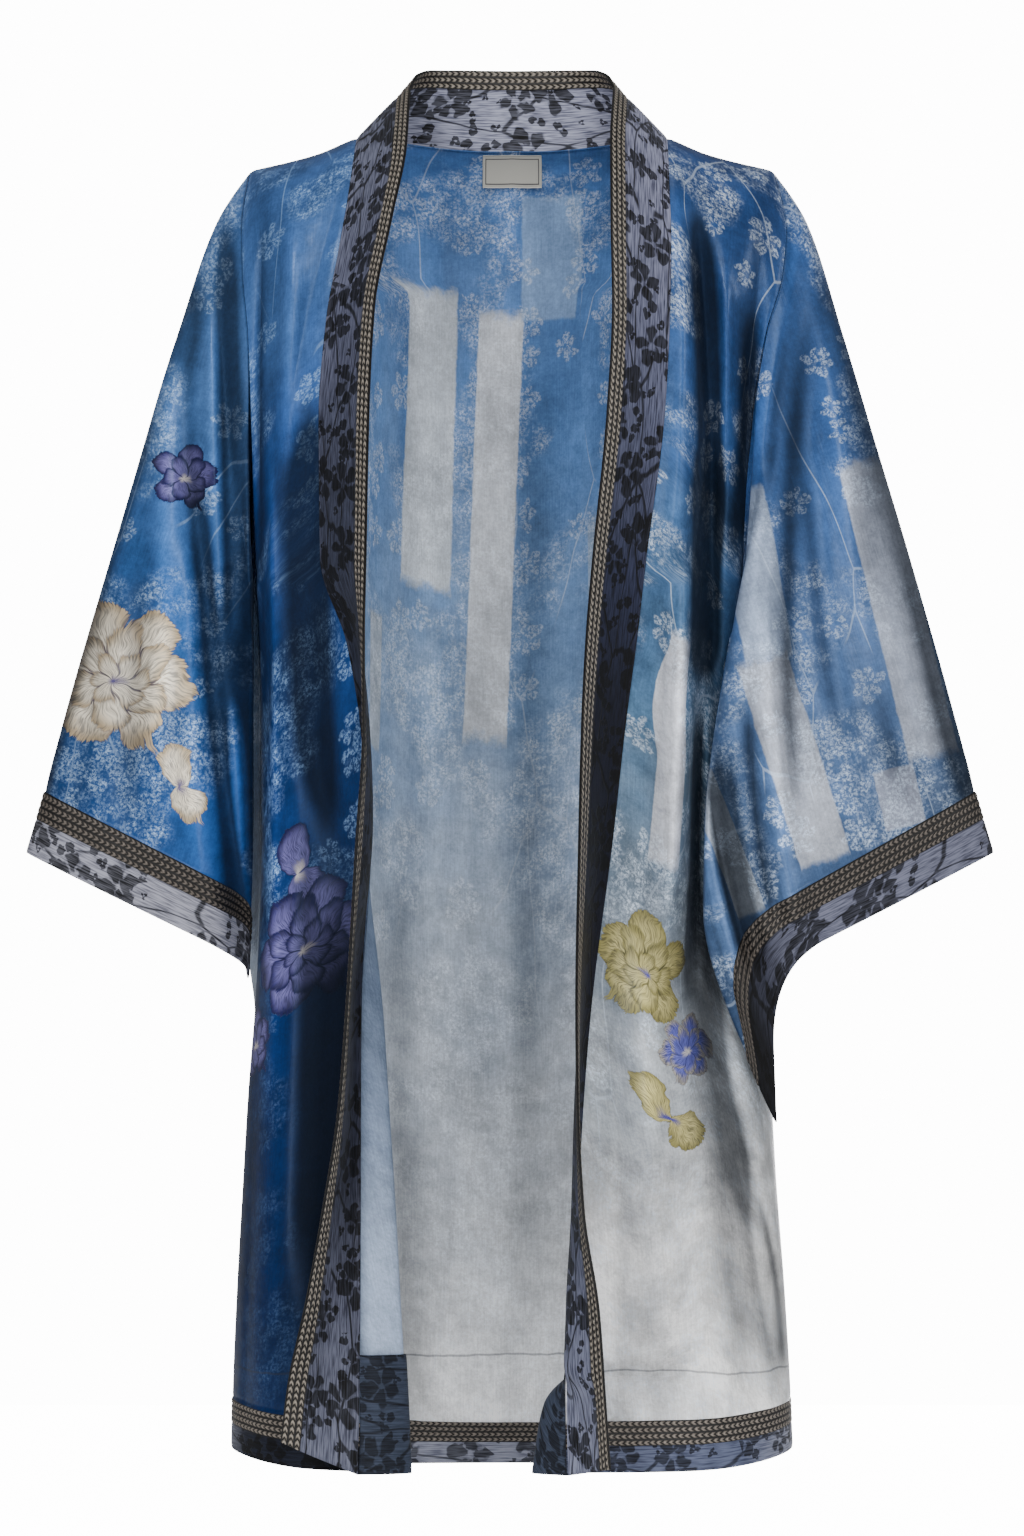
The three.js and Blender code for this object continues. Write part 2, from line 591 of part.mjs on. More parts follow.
function sleevePart(name, colour, sleeve, ways, parts, wall) {
  const list = through(ways, parts);
  const last = list.length - 1;
  const spot = (i, j) => {
    const [way, place] = [list[j], arounds[i]];
    const normal = sleeveNormal(sleeve, way, place);
    if (j === 0 && way > 0) return [sleeveShift(sleeve, way, place.around, 0.01), normal];
    if (j === last && way < 1) return [sleeveShift(sleeve, way, place.around, -0.01), normal];
    return [sleevePoint(sleeve, way, place.around), normal];
  };
  return clothWall(name, colour, spot, arounds.length, last, wall, { ring: true });
}

const sleeves = [
  { name: 'right', side: -1, rows: sleeveRightRows, front: right },
  { name: 'left', side: 1, rows: sleeveLeftRows, front: left },
];

// A facing inside a front's lower corner, moved in from the panel's own points.
function hemFacing(name, front) {
  const acrosses = frontAcrosses.filter((across) => across > 2.7);
  const downs = [...panelDowns.filter((down) => down >= facingDown), bandStart, 2];
  const spot = (i, j) => [frontPoint(front, acrosses[i], downs[j]), frontNormal(front, acrosses[i], downs[j])];
  const inwards = -(size.braidWall / 2 + size.seamGap + size.facingWall / 2);
  const last = [acrosses.length - 1, downs.length - 1];
  return clothWall(name, colours.facing, spot, last[0], last[1], size.facingWall, { shift: inwards });
}

// The neck label, on the inside of the back just under the neck seam.
function neckLabel() {
  const { reach, top, deep } = { reach: 0.051, top: 0.02, deep: 0.22 }; // in places across and down the back
  const spot = (i, j) => {
    const [u, v] = [-reach + reach * i / 2, top + deep * j / 3];
    return [backPoint(u, v), backNormal(u, v)];
  };
  const inwards = -(size.panelWall / 2 + 3 * size.seamGap + size.labelWall / 2);
  return clothWall('label', colours.label, spot, 4, 3, size.labelWall, { shift: inwards });
}

// ---------- the garment ----------
const jacket = new THREE.Group();
jacket.add(backPanel());
jacket.add(frontPanel('front_right', colours.front, right));
jacket.add(frontPanel('front_left', colours.frontPale, left));
for (const sleeve of sleeves) {
  const { name } = sleeve;
  const [braid, band] = [[braidWay, cuffWay], [cuffWay, 1]];
  jacket.add(sleevePart(`sleeve_${name}`, colours.sleeve, sleeve, [0, blendWay, braidWay], [5, 7], size.panelWall));
  jacket.add(sleevePart(`cuff_braid_${name}`, colours.braid, sleeve, braid, [1], size.braidWall));
  jacket.add(sleevePart(`cuff_band_${name}`, colours.cuff, sleeve, band, [1], size.bandWall));
}
jacket.add(neckStrip('neckband', colours.band, 0, bandShare, 2, size.bandWall));
jacket.add(neckStrip('neck_braid', colours.braid, bandShare, 1, 1, size.braidWall));
jacket.add(hemStrip('hem_braid', colours.braid, panelEnd, bandStart, size.braidWall));
jacket.add(hemStrip('hem_band', colours.band, bandStart, 2, size.bandWall));
jacket.add(hemFacing('hem_facing_right', right));
jacket.add(hemFacing('hem_facing_left', left));
jacket.add(neckLabel());

export default jacket;
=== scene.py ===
# Satin kimono jacket in worn form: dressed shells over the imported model.
# Tables and formulas work in millimetres; meshes are made in metres.
import math
import bpy
import numpy as np
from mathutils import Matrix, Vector


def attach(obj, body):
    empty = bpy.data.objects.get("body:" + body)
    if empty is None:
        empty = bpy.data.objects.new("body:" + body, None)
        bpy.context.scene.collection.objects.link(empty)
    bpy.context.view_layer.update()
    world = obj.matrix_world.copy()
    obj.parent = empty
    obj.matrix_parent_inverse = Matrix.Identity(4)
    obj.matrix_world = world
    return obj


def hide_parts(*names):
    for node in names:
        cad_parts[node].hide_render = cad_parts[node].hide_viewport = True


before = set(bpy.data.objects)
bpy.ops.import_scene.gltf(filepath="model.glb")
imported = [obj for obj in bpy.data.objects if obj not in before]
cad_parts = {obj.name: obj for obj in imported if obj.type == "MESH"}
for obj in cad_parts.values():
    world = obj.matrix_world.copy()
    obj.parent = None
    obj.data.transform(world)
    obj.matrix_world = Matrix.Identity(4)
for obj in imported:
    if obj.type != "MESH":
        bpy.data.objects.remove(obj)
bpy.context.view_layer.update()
print("frame loaded")

mm = 0.001

# sizes shared by all the pieces
garment = {
    "panelWall": 1.6, "bandWall": 2.0, "braidWall": 2.6, "facingWall": 1.0, "labelWall": 1.0,
    "seamGap": 0.3, "underarmGap": 2.2,
    "frontDrop": 948, "backDrop": 958, "sideDrop": 936, "capDepth": 110,
    "armholeDrop": 315, "armholeFlare": 62, "armholeRound": 0.6, "cuffRound": 0.8, "riseFade": 250,
    "neckHalfWidth": 111, "neckBackReach": 55, "bandWidth": 53, "neckBraidWidth": 13,
    "hemBraidTop": 36, "hemBandTop": 19, "facingTop": 84, "backSquareness": 2.3,
    "kneePlace": 0.7, "kneeSpread": 0.16, "kneeRound": 0.04, "lobeThin": 0.72, "blendWay": 0.3,
    "braidWay": 0.88, "cuffWay": 0.93, "pouch": 15,
}


def table(names, lines):  # rows of numbers to a dictionary of columns
    return dict(zip(names.split(), np.array(lines, float).T))


shoulderLine = table("across rise", [
    (0, 20), (72, 16), (111, 4), (140, -8), (162, -14), (188, -20), (210, -27)])

frontNames = "drop sideX flankX flankY midX midY turnX turnY seamX seamY edgeX edgeY lift"
frontRight = {"side": -1, "rows": table(frontNames, [
    (0, 188, 176, 68, 158, 76, 130, 79, 111, 80, 73, 98, 25),
    (40, 193, 178, 66, 160, 75, 134, 80, 116, 82, 75, 110, 19),
    (80, 192, 178, 66, 162, 75, 140, 80, 123, 84, 85, 118, 10),
    (130, 188, 178, 67, 165, 76, 148, 82, 132, 86, 97, 124, 3),
    (200, 186, 178, 66, 166, 78, 151, 85, 137, 90, 101, 127, 0),
    (300, 184, 178, 52, 168, 74, 151, 86, 136, 92, 103, 133, 0),
    (360, 181, 176, 38, 162, 70, 136, 88, 117, 95, 104, 146, 0),
    (420, 180, 175, 36, 158, 72, 124, 89, 107, 99, 104, 152, 0),
    (500, 180, 175, 36, 152, 74, 108, 88, 101, 102, 109, 154, 0),
    (616, 184, 179, 38, 150, 76, 94, 91, 107, 104, 116, 156, 0),
    (690, 189, 184, 40, 150, 79, 89, 95, 107, 107, 122, 157, 0),
    (760, 193, 187, 42, 152, 82, 84, 98, 107, 112, 133, 157, 1),
    (830, 197, 191, 44, 153, 84, 80, 101, 107, 117, 145, 153, 5),
    (900, 200, 194, 45, 154, 85, 76, 104, 108, 121, 158, 138, 14),
    (948, 201, 195, 46, 154, 86, 74, 106, 109, 123, 163, 132, 21)])}
frontLeft = {"side": 1, "rows": table(frontNames, [
    (0, 188, 176, 68, 158, 76, 130, 80, 111, 82, 73, 100, 25),
    (40, 196, 178, 64, 158, 74, 130, 82, 112, 84, 70, 112, 19),
    (80, 193, 178, 62, 158, 73, 130, 84, 113, 87, 70, 118, 10),
    (130, 181, 172, 62, 156, 75, 130, 87, 112, 91, 71, 123, 3),
    (200, 171, 166, 60, 152, 72, 128, 90, 108, 96, 67, 130, 0),
    (300, 166, 161, 44, 146, 62, 122, 93, 95, 102, 57, 139, 0),
    (360, 165, 158, 24, 143, 44, 118, 94, 88, 105, 52, 144, 0),
    (420, 165, 156, 22, 138, 46, 115, 94, 80, 107, 49, 149, 0),
    (500, 166, 157, 22, 136, 48, 108, 96, 71, 109, 47, 157, 0),
    (616, 172, 164, 28, 142, 60, 96, 100, 56, 112, 45, 163, 0),
    (690, 186, 178, 36, 150, 74, 90, 102, 50, 113, 46, 166, 0),
    (760, 190, 184, 42, 152, 80, 86, 104, 46, 114, 50, 167, 0),
    (830, 195, 189, 44, 154, 84, 82, 105, 40, 116, 61, 164, 0),
    (900, 199, 193, 45, 155, 86, 28, 112, 39, 122, 66, 166, 2),
    (948, 201, 195, 46, 156, 87, 20, 112, 40, 124, 69, 168, 8)])}
backRows = table("drop reach", [(0, 95), (110, 98), (250, 104), (450, 100), (650, 98), (958, 104)])
collarRows = table("turn edgeX edgeY edgeZ", [
    (0, 0, 63, 58), (0.35, 36, 57, 58), (0.6, 58, 43, 57), (0.8, 67, 24, 53), (1, 73, 0, 41)])

# Folds: troughs (deep > 0) and ridges (deep < 0) along a curve through three places (drop, across).
# The first rows of each table are the solid's own; sharp is the power of the fold's profile.
foldNames = "dropA acrossA dropB acrossB dropC acrossC wide deep sharp"
frontRight["folds"] = table(foldNames, [
    (60, 168, 150, 171, 300, 169, 9, 4, 2), (200, 150, 330, 150, 470, 142, 15, 11, 2),
    (430, 166, 650, 170, 930, 178, 18, -4, 2), (540, 124, 740, 130, 948, 126, 17, 12, 2),
    (60, 178, 160, 179, 420, 176, 4, 6, 1.6), (190, 140, 330, 138, 520, 128, 12, 9, 2),
    (480, 148, 620, 148, 820, 152, 10, 7, 1.7), (620, 182, 760, 186, 940, 190, 6, 4, 1.6),
    (600, 108, 760, 112, 940, 104, 8, 5, 1.7), (230, 173, 420, 170, 640, 171, 4, -5, 2),
    (50, 156, 130, 158, 230, 160, 8, -5, 2), (40, 124, 90, 138, 190, 158, 6, 3, 1.7)])
frontLeft["folds"] = table(foldNames, [
    (50, 130, 130, 138, 290, 142, 10, 14, 2), (120, 166, 200, 168, 300, 158, 9, 11, 1.9),
    (560, 118, 700, 140, 900, 172, 14, 6, 2), (620, 152, 760, 168, 930, 184, 10, -5, 2),
    (700, 96, 820, 106, 948, 104, 20, 4, 2),
    (70, 134, 170, 138, 330, 138, 8, 8, 1.8), (230, 140, 300, 139, 385, 136, 12, 17, 3.6),
    (410, 133, 490, 131, 600, 128, 5.5, 13, 3.2),
    (60, 176, 120, 173, 230, 166, 5, 4, 1.7), (90, 152, 190, 152, 330, 149, 5, -6, 2),
    (40, 118, 130, 121, 300, 112, 7, -4, 1.6), (300, 112, 420, 106, 600, 92, 8, 4, 1.7),
    (320, 122, 430, 118, 560, 112, 5, -6, 2), (640, 74, 780, 78, 940, 70, 9, 3, 1.7),
    (760, 176, 820, 188, 880, 193, 5, 8, 1.7), (560, 92, 700, 98, 860, 112, 8, -4, 2),
    (540, 134, 640, 147, 760, 168, 11, 13, 1.8), (700, 158, 790, 170, 900, 188, 8, 10, 1.7)])
backFolds = table(foldNames, [
    (60, -70, 300, -60, 700, -64, 16, 6, 2), (120, 22, 420, 14, 900, 8, 18, -6, 2),
    (80, 96, 360, 84, 760, 92, 16, 7, 2), (380, -120, 640, -116, 950, -110, 22, 9, 2),
    (420, 52, 700, 60, 950, 70, 18, 7, 2), (460, 128, 700, 124, 950, 118, 20, -6, 2),
    (90, -40, 420, -34, 900, -42, 7, 2.5, 1.6), (160, 56, 420, 48, 700, 54, 6, 2, 1.6),
    (300, -8, 560, -2, 820, -12, 7, 2, 1.6), (500, 24, 700, 30, 940, 22, 8, 2.5, 1.7)])
sleeveNames = "way outX outZ kneeX kneeZ kneeY lowX lowZ lowY half"
sleeveRight = {"side": -1, "front": frontRight, "rows": table(sleeveNames, [
    (0, 189, -20, 187, -232, 0, 187, -313, 0, 62), (0.1, 213, -58, 189, -288, 0, 188, -342, 0, 59),
    (0.25, 240, -138, 189, -344, 2, 187, -380, 0, 55), (0.4, 264, -216, 189, -392, 4, 187, -422, 0, 51),
    (0.55, 287, -292, 189, -438, 6, 187, -464, 0, 48), (0.7, 309, -368, 189, -484, 8, 187, -506, 2, 45),
    (0.88, 336, -466, 190, -540, 8, 188, -556, 4, 42), (1, 349, -510, 192, -586, 8, 190, -600, 4, 40)])}
sleeveLeft = {"side": 1, "front": frontLeft, "rows": table(sleeveNames, [
    (0, 189, -20, 170, -232, 0, 169, -313, 0, 62), (0.1, 213, -58, 172, -262, 14, 166, -336, 12, 57),
    (0.25, 238, -138, 161, -322, 50, 155, -380, 44, 48), (0.4, 261, -216, 151, -380, 70, 145, -428, 64, 41),
    (0.55, 284, -292, 144, -430, 80, 138, -480, 78, 37), (0.7, 306, -368, 140, -484, 84, 137, -552, 83, 35),
    (0.88, 333, -466, 149, -566, 80, 168, -655, 62, 36), (1, 346, -510, 184, -590, 62, 189, -702, 44, 36)])}
sleeveRight["folds"] = table(foldNames, [
    (60, 204, 180, 202, 420, 197, 9, 16, 2.2), (250, 223, 420, 210, 590, 191, 8, 15, 2.2),
    (110, 226, 230, 232, 320, 225, 8, 6, 2), (300, 262, 400, 270, 500, 276, 12, 6, 2),
    (150, 248, 300, 248, 460, 252, 10, -6, 2), (400, 200, 480, 194, 580, 184, 5, -7, 2),
    (130, 214, 230, 212, 340, 208, 5, -6, 2), (330, 290, 400, 300, 480, 312, 9, 4, 2),
    (280, 232, 400, 230, 540, 222, 7, -4, 2), (190, 190, 330, 189, 560, 187, 5, 12, 2)])
sleeveLeft["folds"] = table(foldNames, [
    (70, 198, 150, 190, 260, 182, 8, 7, 1.6), (150, 208, 330, 196, 500, 200, 9, 9, 1.9),
    (455, 142, 520, 150, 590, 172, 6, 11, 1.7), (250, 246, 360, 258, 480, 280, 11, 6, 2),
    (130, 222, 260, 240, 400, 262, 9, -6, 2), (420, 188, 520, 198, 590, 210, 7, -6, 2),
    (420, 134, 520, 141, 620, 165, 5, -9, 2), (60, 206, 180, 182, 330, 158, 5, -8, 2),
    (300, 290, 400, 306, 470, 322, 9, 4, 2), (230, 210, 330, 218, 430, 232, 7, 6, 2),
    (400, 166, 470, 172, 560, 186, 7, 9, 1.8), (330, 178, 450, 186, 560, 200, 5, -4, 2),
    (440, 154, 510, 162, 590, 180, 6, 9, 1.8), (425, 145, 500, 151, 600, 172, 6, 8, 1.8)])


# reading and shaping, all on whole arrays
def smooth(low, high, x):  # 0 below low, 1 above high, with a soft S between
    t = np.clip((x - low) / (high - low), 0, 1)
    return t * t * (3 - 2 * t)


def read(rows, key, at, name):  # cubic through a table's column, harmonic slopes, no overshoot
    xs, ys = rows[key], rows[name]
    rate = np.diff(ys) / np.diff(xs)
    a, b = rate[:-1], rate[1:]
    inner = np.where(a * b > 0, 2 * a * b / np.where(a + b == 0, 1, a + b), 0)
    slope = np.concatenate([rate[:1], inner, rate[-1:]])
    at = np.clip(at, xs[0], xs[-1])
    i = np.clip(np.searchsorted(xs, at, side="right") - 1, 0, len(xs) - 2)
    span = xs[i + 1] - xs[i]
    t = (at - xs[i]) / span
    t2, t3 = t * t, t * t * t
    return ((2 * t3 - 3 * t2 + 1) * ys[i] + (t3 - 2 * t2 + t) * span * slope[i]
            + (3 * t2 - 2 * t3) * ys[i + 1] + (t3 - t2) * span * slope[i + 1])


def levelAt(across, sideAcross, drop, hemDrop):  # height: shoulder slope fades out, hem shorter at the sides
    rise = read(shoulderLine, "across", np.abs(across), "rise") * (1 - smooth(0, garment["riseFade"], drop))
    share = drop / garment["frontDrop"]
    toSide = np.minimum(1, np.abs(across / sideAcross)) ** 6
    hemLevel = hemDrop + (garment["sideDrop"] - hemDrop) * toSide
    return rise - drop * (1 + (hemLevel / garment["frontDrop"] - 1) * share * share)


def foldDepth(folds, across, drop):  # sum of troughs: depth * ends * exp(-|distance / width| ** sharp)
    deep = np.zeros(np.broadcast(across, drop).shape)
    for k in range(len(folds["deep"])):
        f = {name: folds[name][k] for name in folds}
        t = (drop - f["dropA"]) / (f["dropC"] - f["dropA"])
        middle = (f["dropB"] - f["dropA"]) / (f["dropC"] - f["dropA"])
        line = f["acrossA"] + (f["acrossC"] - f["acrossA"]) * t
        bend = f["acrossB"] - f["acrossA"] - (f["acrossC"] - f["acrossA"]) * middle
        centre = line + bend * (t * (1 - t)) / (middle * (1 - middle))
        ends = smooth(-0.12, 0.18, t) * (1 - smooth(0.82, 1.12, t))
        deep += f["deep"] * ends * np.exp(-np.abs((across - centre) / f["wide"]) ** f["sharp"])
    return deep


def armholeFront(drop):  # flare * (4 s (1 - s)) ** round, s the share of the armhole's depth
    share = np.clip(drop / garment["armholeDrop"], 0, 1)
    return garment["armholeFlare"] * (4 * share * (1 - share)) ** garment["armholeRound"]


def dropAt(down):  # 0..1 runs round the cap from the shoulder line, 1..2 on to the hem
    cap = garment["capDepth"]
    return np.where(down < 1, cap * (1 - np.cos(np.clip(down, 0, 1) * math.pi / 2)),
                    cap + (down - 1) * (garment["frontDrop"] - cap))


def downAt(drop):  # dropAt the other way, below the cap
    return 1 + (drop - garment["capDepth"]) / (garment["frontDrop"] - garment["capDepth"])


def frontPoint(front, across, down):  # cubic through six places in plan at each drop; 4..5 is the neckband
    across, down = np.broadcast_arrays(np.asarray(across, float), np.asarray(down, float))
    drop = dropAt(down)
    cap = np.where(down < 1, np.sin(np.clip(down, 0, 1) * math.pi / 2), 1)

    def get(name):
        return read(front["rows"], "drop", drop, name)

    keys = np.array([
        [get("sideX"), armholeFront(drop)],
        [get("flankX"), np.maximum(get("flankY") * cap, armholeFront(drop) * 0.9)],
        [get("midX"), get("midY") * cap], [get("turnX"), get("turnY") * cap],
        [get("seamX"), get("seamY") * cap], [get("edgeX"), get("edgeY") * cap]])
    step = np.diff(keys, axis=0)
    span = np.maximum(np.hypot(step[:, 0], step[:, 1]), 1e-6)
    chord = step / span[:, None]
    tangent = np.empty_like(keys)
    below = drop > garment["armholeDrop"]
    tangent[0, 0], tangent[0, 1] = np.where(below, 0, chord[0, 0]), np.where(below, 1, chord[0, 1])
    tangent[5] = chord[4]
    for k in range(1, 5):
        tangent[k] = (chord[k - 1] * span[k] + chord[k] * span[k - 1]) / (span[k - 1] + span[k])
    i = np.clip(np.floor(across), 0, 4).astype(int)
    t = across - i
    t2, t3 = t * t, t * t * t

    def pick(values, k):
        return np.take_along_axis(values, k[None], 0)[0]

    spanHere = pick(span, i)
    plan = [(2 * t3 - 3 * t2 + 1) * pick(keys[:, axis], i)
            + (t3 - 2 * t2 + t) * spanHere * pick(tangent[:, axis], i)
            + (3 * t2 - 2 * t3) * pick(keys[:, axis], i + 1)
            + (t3 - t2) * spanHere * pick(tangent[:, axis], i + 1) for axis in (0, 1)]
    x, out = plan
    fade = smooth(0, 45, out) * cap
    y = -(out - foldDepth(front["folds"], x, drop) * fade)
    lift = get("lift") * np.maximum(0, across - 4)
    z = levelAt(x, keys[0, 0], drop, garment["frontDrop"]) + lift
    return np.stack([front["side"] * x, y, z], -1)


def backSurface(across, down):  # squared half ellipse at each drop, flared to the armhole at its ends
    across, down = np.broadcast_arrays(np.asarray(across, float), np.asarray(down, float))
    drop = dropAt(down)
    side = np.where(across < 0, read(frontRight["rows"], "drop", drop, "sideX"),
                    read(frontLeft["rows"], "drop", drop, "sideX"))
    cap = np.where(down < 1, np.sin(np.clip(down, 0, 1) * math.pi / 2), 1)
    angle = across * math.pi / 2
    power = 2 / garment["backSquareness"]
    x = np.sign(across) * side * np.abs(np.sin(angle)) ** power
    reach = read(backRows, "drop", drop, "reach") * cap * np.maximum(0, np.cos(angle)) ** power
    pouch = smooth(250, 330, drop) * (1 - smooth(560, 660, drop)) * np.exp(-((reach - 30) / 17) ** 2)
    x = x + np.sign(across) * garment["pouch"] * pouch  # the back hangs out a little behind each sleeve
    fade = smooth(10, 60, reach) * cap
    y = armholeFront(drop) * np.abs(across) ** 5 + reach - foldDepth(backFolds, x, drop) * fade
    return np.stack([x, y, levelAt(x, side, drop, garment["backDrop"])], -1)


def neckStart(across):  # by halving: where the back's top edge meets the neck seam's ellipse
    across = np.asarray(across, float)
    x = backSurface(across, 0.0)[..., 0]
    half = garment["neckHalfWidth"]
    seam = garment["neckBackReach"] * np.sqrt(np.maximum(0, 1 - (x / half) ** 2))
    low, high = np.zeros_like(across), np.ones_like(across)
    for _ in range(24):
        middle = (low + high) / 2
        short = backSurface(across, middle)[..., 1] < seam
        low, high = np.where(short, middle, low), np.where(short, high, middle)
    return np.where(np.abs(x) >= half, 0, (low + high) / 2)


def backPoint(across, down):  # backSurface from the neck seam down: 0 is the seam, 2 the hem
    start = neckStart(across)
    return backSurface(across, start + down * (2 - start) / 2)


def collarPoint(across, rise):  # straight from the neck seam to the band's free edge
    seam = backPoint(across, np.zeros_like(across))
    quarter = np.arcsin(np.minimum(1, np.abs(seam[..., 0]) / garment["neckHalfWidth"])) * 2 / math.pi
    edge = np.stack([np.sign(seam[..., 0]) * read(collarRows, "turn", quarter, "edgeX"),
                     read(collarRows, "turn", quarter, "edgeY"),
                     read(collarRows, "turn", quarter, "edgeZ")], -1)
    return seam + (edge - seam) * np.asarray(rise)[..., None]


def kneeBlend(run, out, knee, low):  # outer line to knee to low end, rounded at the knee
    place = garment["kneePlace"]
    upper, lower = np.minimum(1, run / place), np.maximum(0, (run - place) / (1 - place))
    near = np.maximum(0, 1 - np.abs(run - place) / garment["kneeSpread"]) ** 2 * garment["kneeRound"]
    turn = (out - knee) / place + (low - knee) / (1 - place)
    return out + (knee - out) * upper + (low - knee) * lower + near * turn


def sleevePoint(sleeve, way, around):  # flattened ring at each way, blended into the armhole near it
    way, around = np.broadcast_arrays(np.asarray(way, float), np.asarray(around, float))

    def get(name):
        return read(sleeve["rows"], "way", way, name)

    first = {name: column[0] for name, column in sleeve["rows"].items()}
    angle = around * 2 * math.pi
    run = (1 - np.cos(angle)) / 2
    facing = np.where(np.sin(angle) >= 0, 1, -1)

    def bulge(power):
        return facing * np.abs(np.sin(angle)) ** power

    holePower = 2 * garment["armholeRound"]
    power = holePower + (garment["cuffRound"] - holePower) * smooth(0, garment["blendWay"], way)
    knee = garment["kneePlace"]
    thin = 1 - garment["lobeThin"] * smooth(knee - 0.12, knee + 0.16, run) * smooth(0.05, 0.5, way)
    own = [kneeBlend(run, get("outX"), get("kneeX"), get("lowX")),
           kneeBlend(run, 0, get("kneeY"), get("lowY")) + get("half") * thin * bulge(power),
           kneeBlend(run, get("outZ"), get("kneeZ"), get("lowZ"))]
    ownStart = [kneeBlend(run, first["outX"], first["kneeX"], first["lowX"]),
                first["half"] * bulge(holePower),
                kneeBlend(run, first["outZ"], first["kneeZ"], first["lowZ"])]
    drop = run * garment["armholeDrop"]
    side = read(sleeve["front"]["rows"], "drop", drop, "sideX")
    gap = garment["seamGap"] + garment["underarmGap"] * smooth(0.2, 0.95, run)
    hemDrop = np.where(facing > 0, garment["frontDrop"], garment["backDrop"])
    start = [side + gap, facing * armholeFront(drop), levelAt(side, side, drop, hemDrop)]
    near = 1 - smooth(0, garment["blendWay"], way)
    x, out, z = [o + (s - os) * near for o, s, os in zip(own, start, ownStart)]
    # a fold never crosses to the other layer
    room = garment["lobeThin"] * get("half") * thin * np.abs(np.sin(angle)) ** power
    deep = foldDepth(sleeve["folds"], x, -z) * smooth(0.02, 0.16, way)
    out = out - facing * np.clip(deep, -6, room)
    return np.stack([sleeve["side"] * x, -out, z], -1)


# mesh from a grid
def wavy(shape, seed, waves, size):  # a few seeded sine waves: hand-made unevenness in millimetres
    rng = np.random.default_rng(seed)
    v, u = np.mgrid[0:1:shape[0] * 1j, 0:1:shape[1] * 1j]
    total = np.zeros(shape)
    for _ in range(waves):
        a, b, phase = rng.uniform(0.5, 4.5), rng.uniform(0.5, 3.0), rng.uniform(0, 2 * math.pi)
        total += np.sin(2 * math.pi * (a * u + b * v) + phase)
    return size * total / math.sqrt(waves)


def gridNormals(points, ring, side):  # cross product of the grid's two directions
    if ring:
        along = np.roll(points, -1, 1) - np.roll(points, 1, 1)
    else:
        along = np.gradient(points, axis=1)
    down = np.gradient(points, axis=0)
    normals = np.cross(along, down)
    size = np.linalg.norm(normals, axis=-1, keepdims=True)
    return side * normals / np.maximum(size, 1e-9)


def arcLengths(points, ring):  # distance along rows and columns, for patterns in real metres
    closed = np.concatenate([points, points[:, :1]], 1) if ring else points
    s = np.linalg.norm(np.diff(closed, axis=1), axis=-1)
    s = np.concatenate([np.zeros((len(s), 1)), np.cumsum(s, 1)], 1)
    t = np.linalg.norm(np.diff(closed, axis=0), axis=-1)
    t = np.concatenate([np.zeros((1, t.shape[1])), np.cumsum(t, 0)], 0)
    return np.stack([s, t], -1) * mm


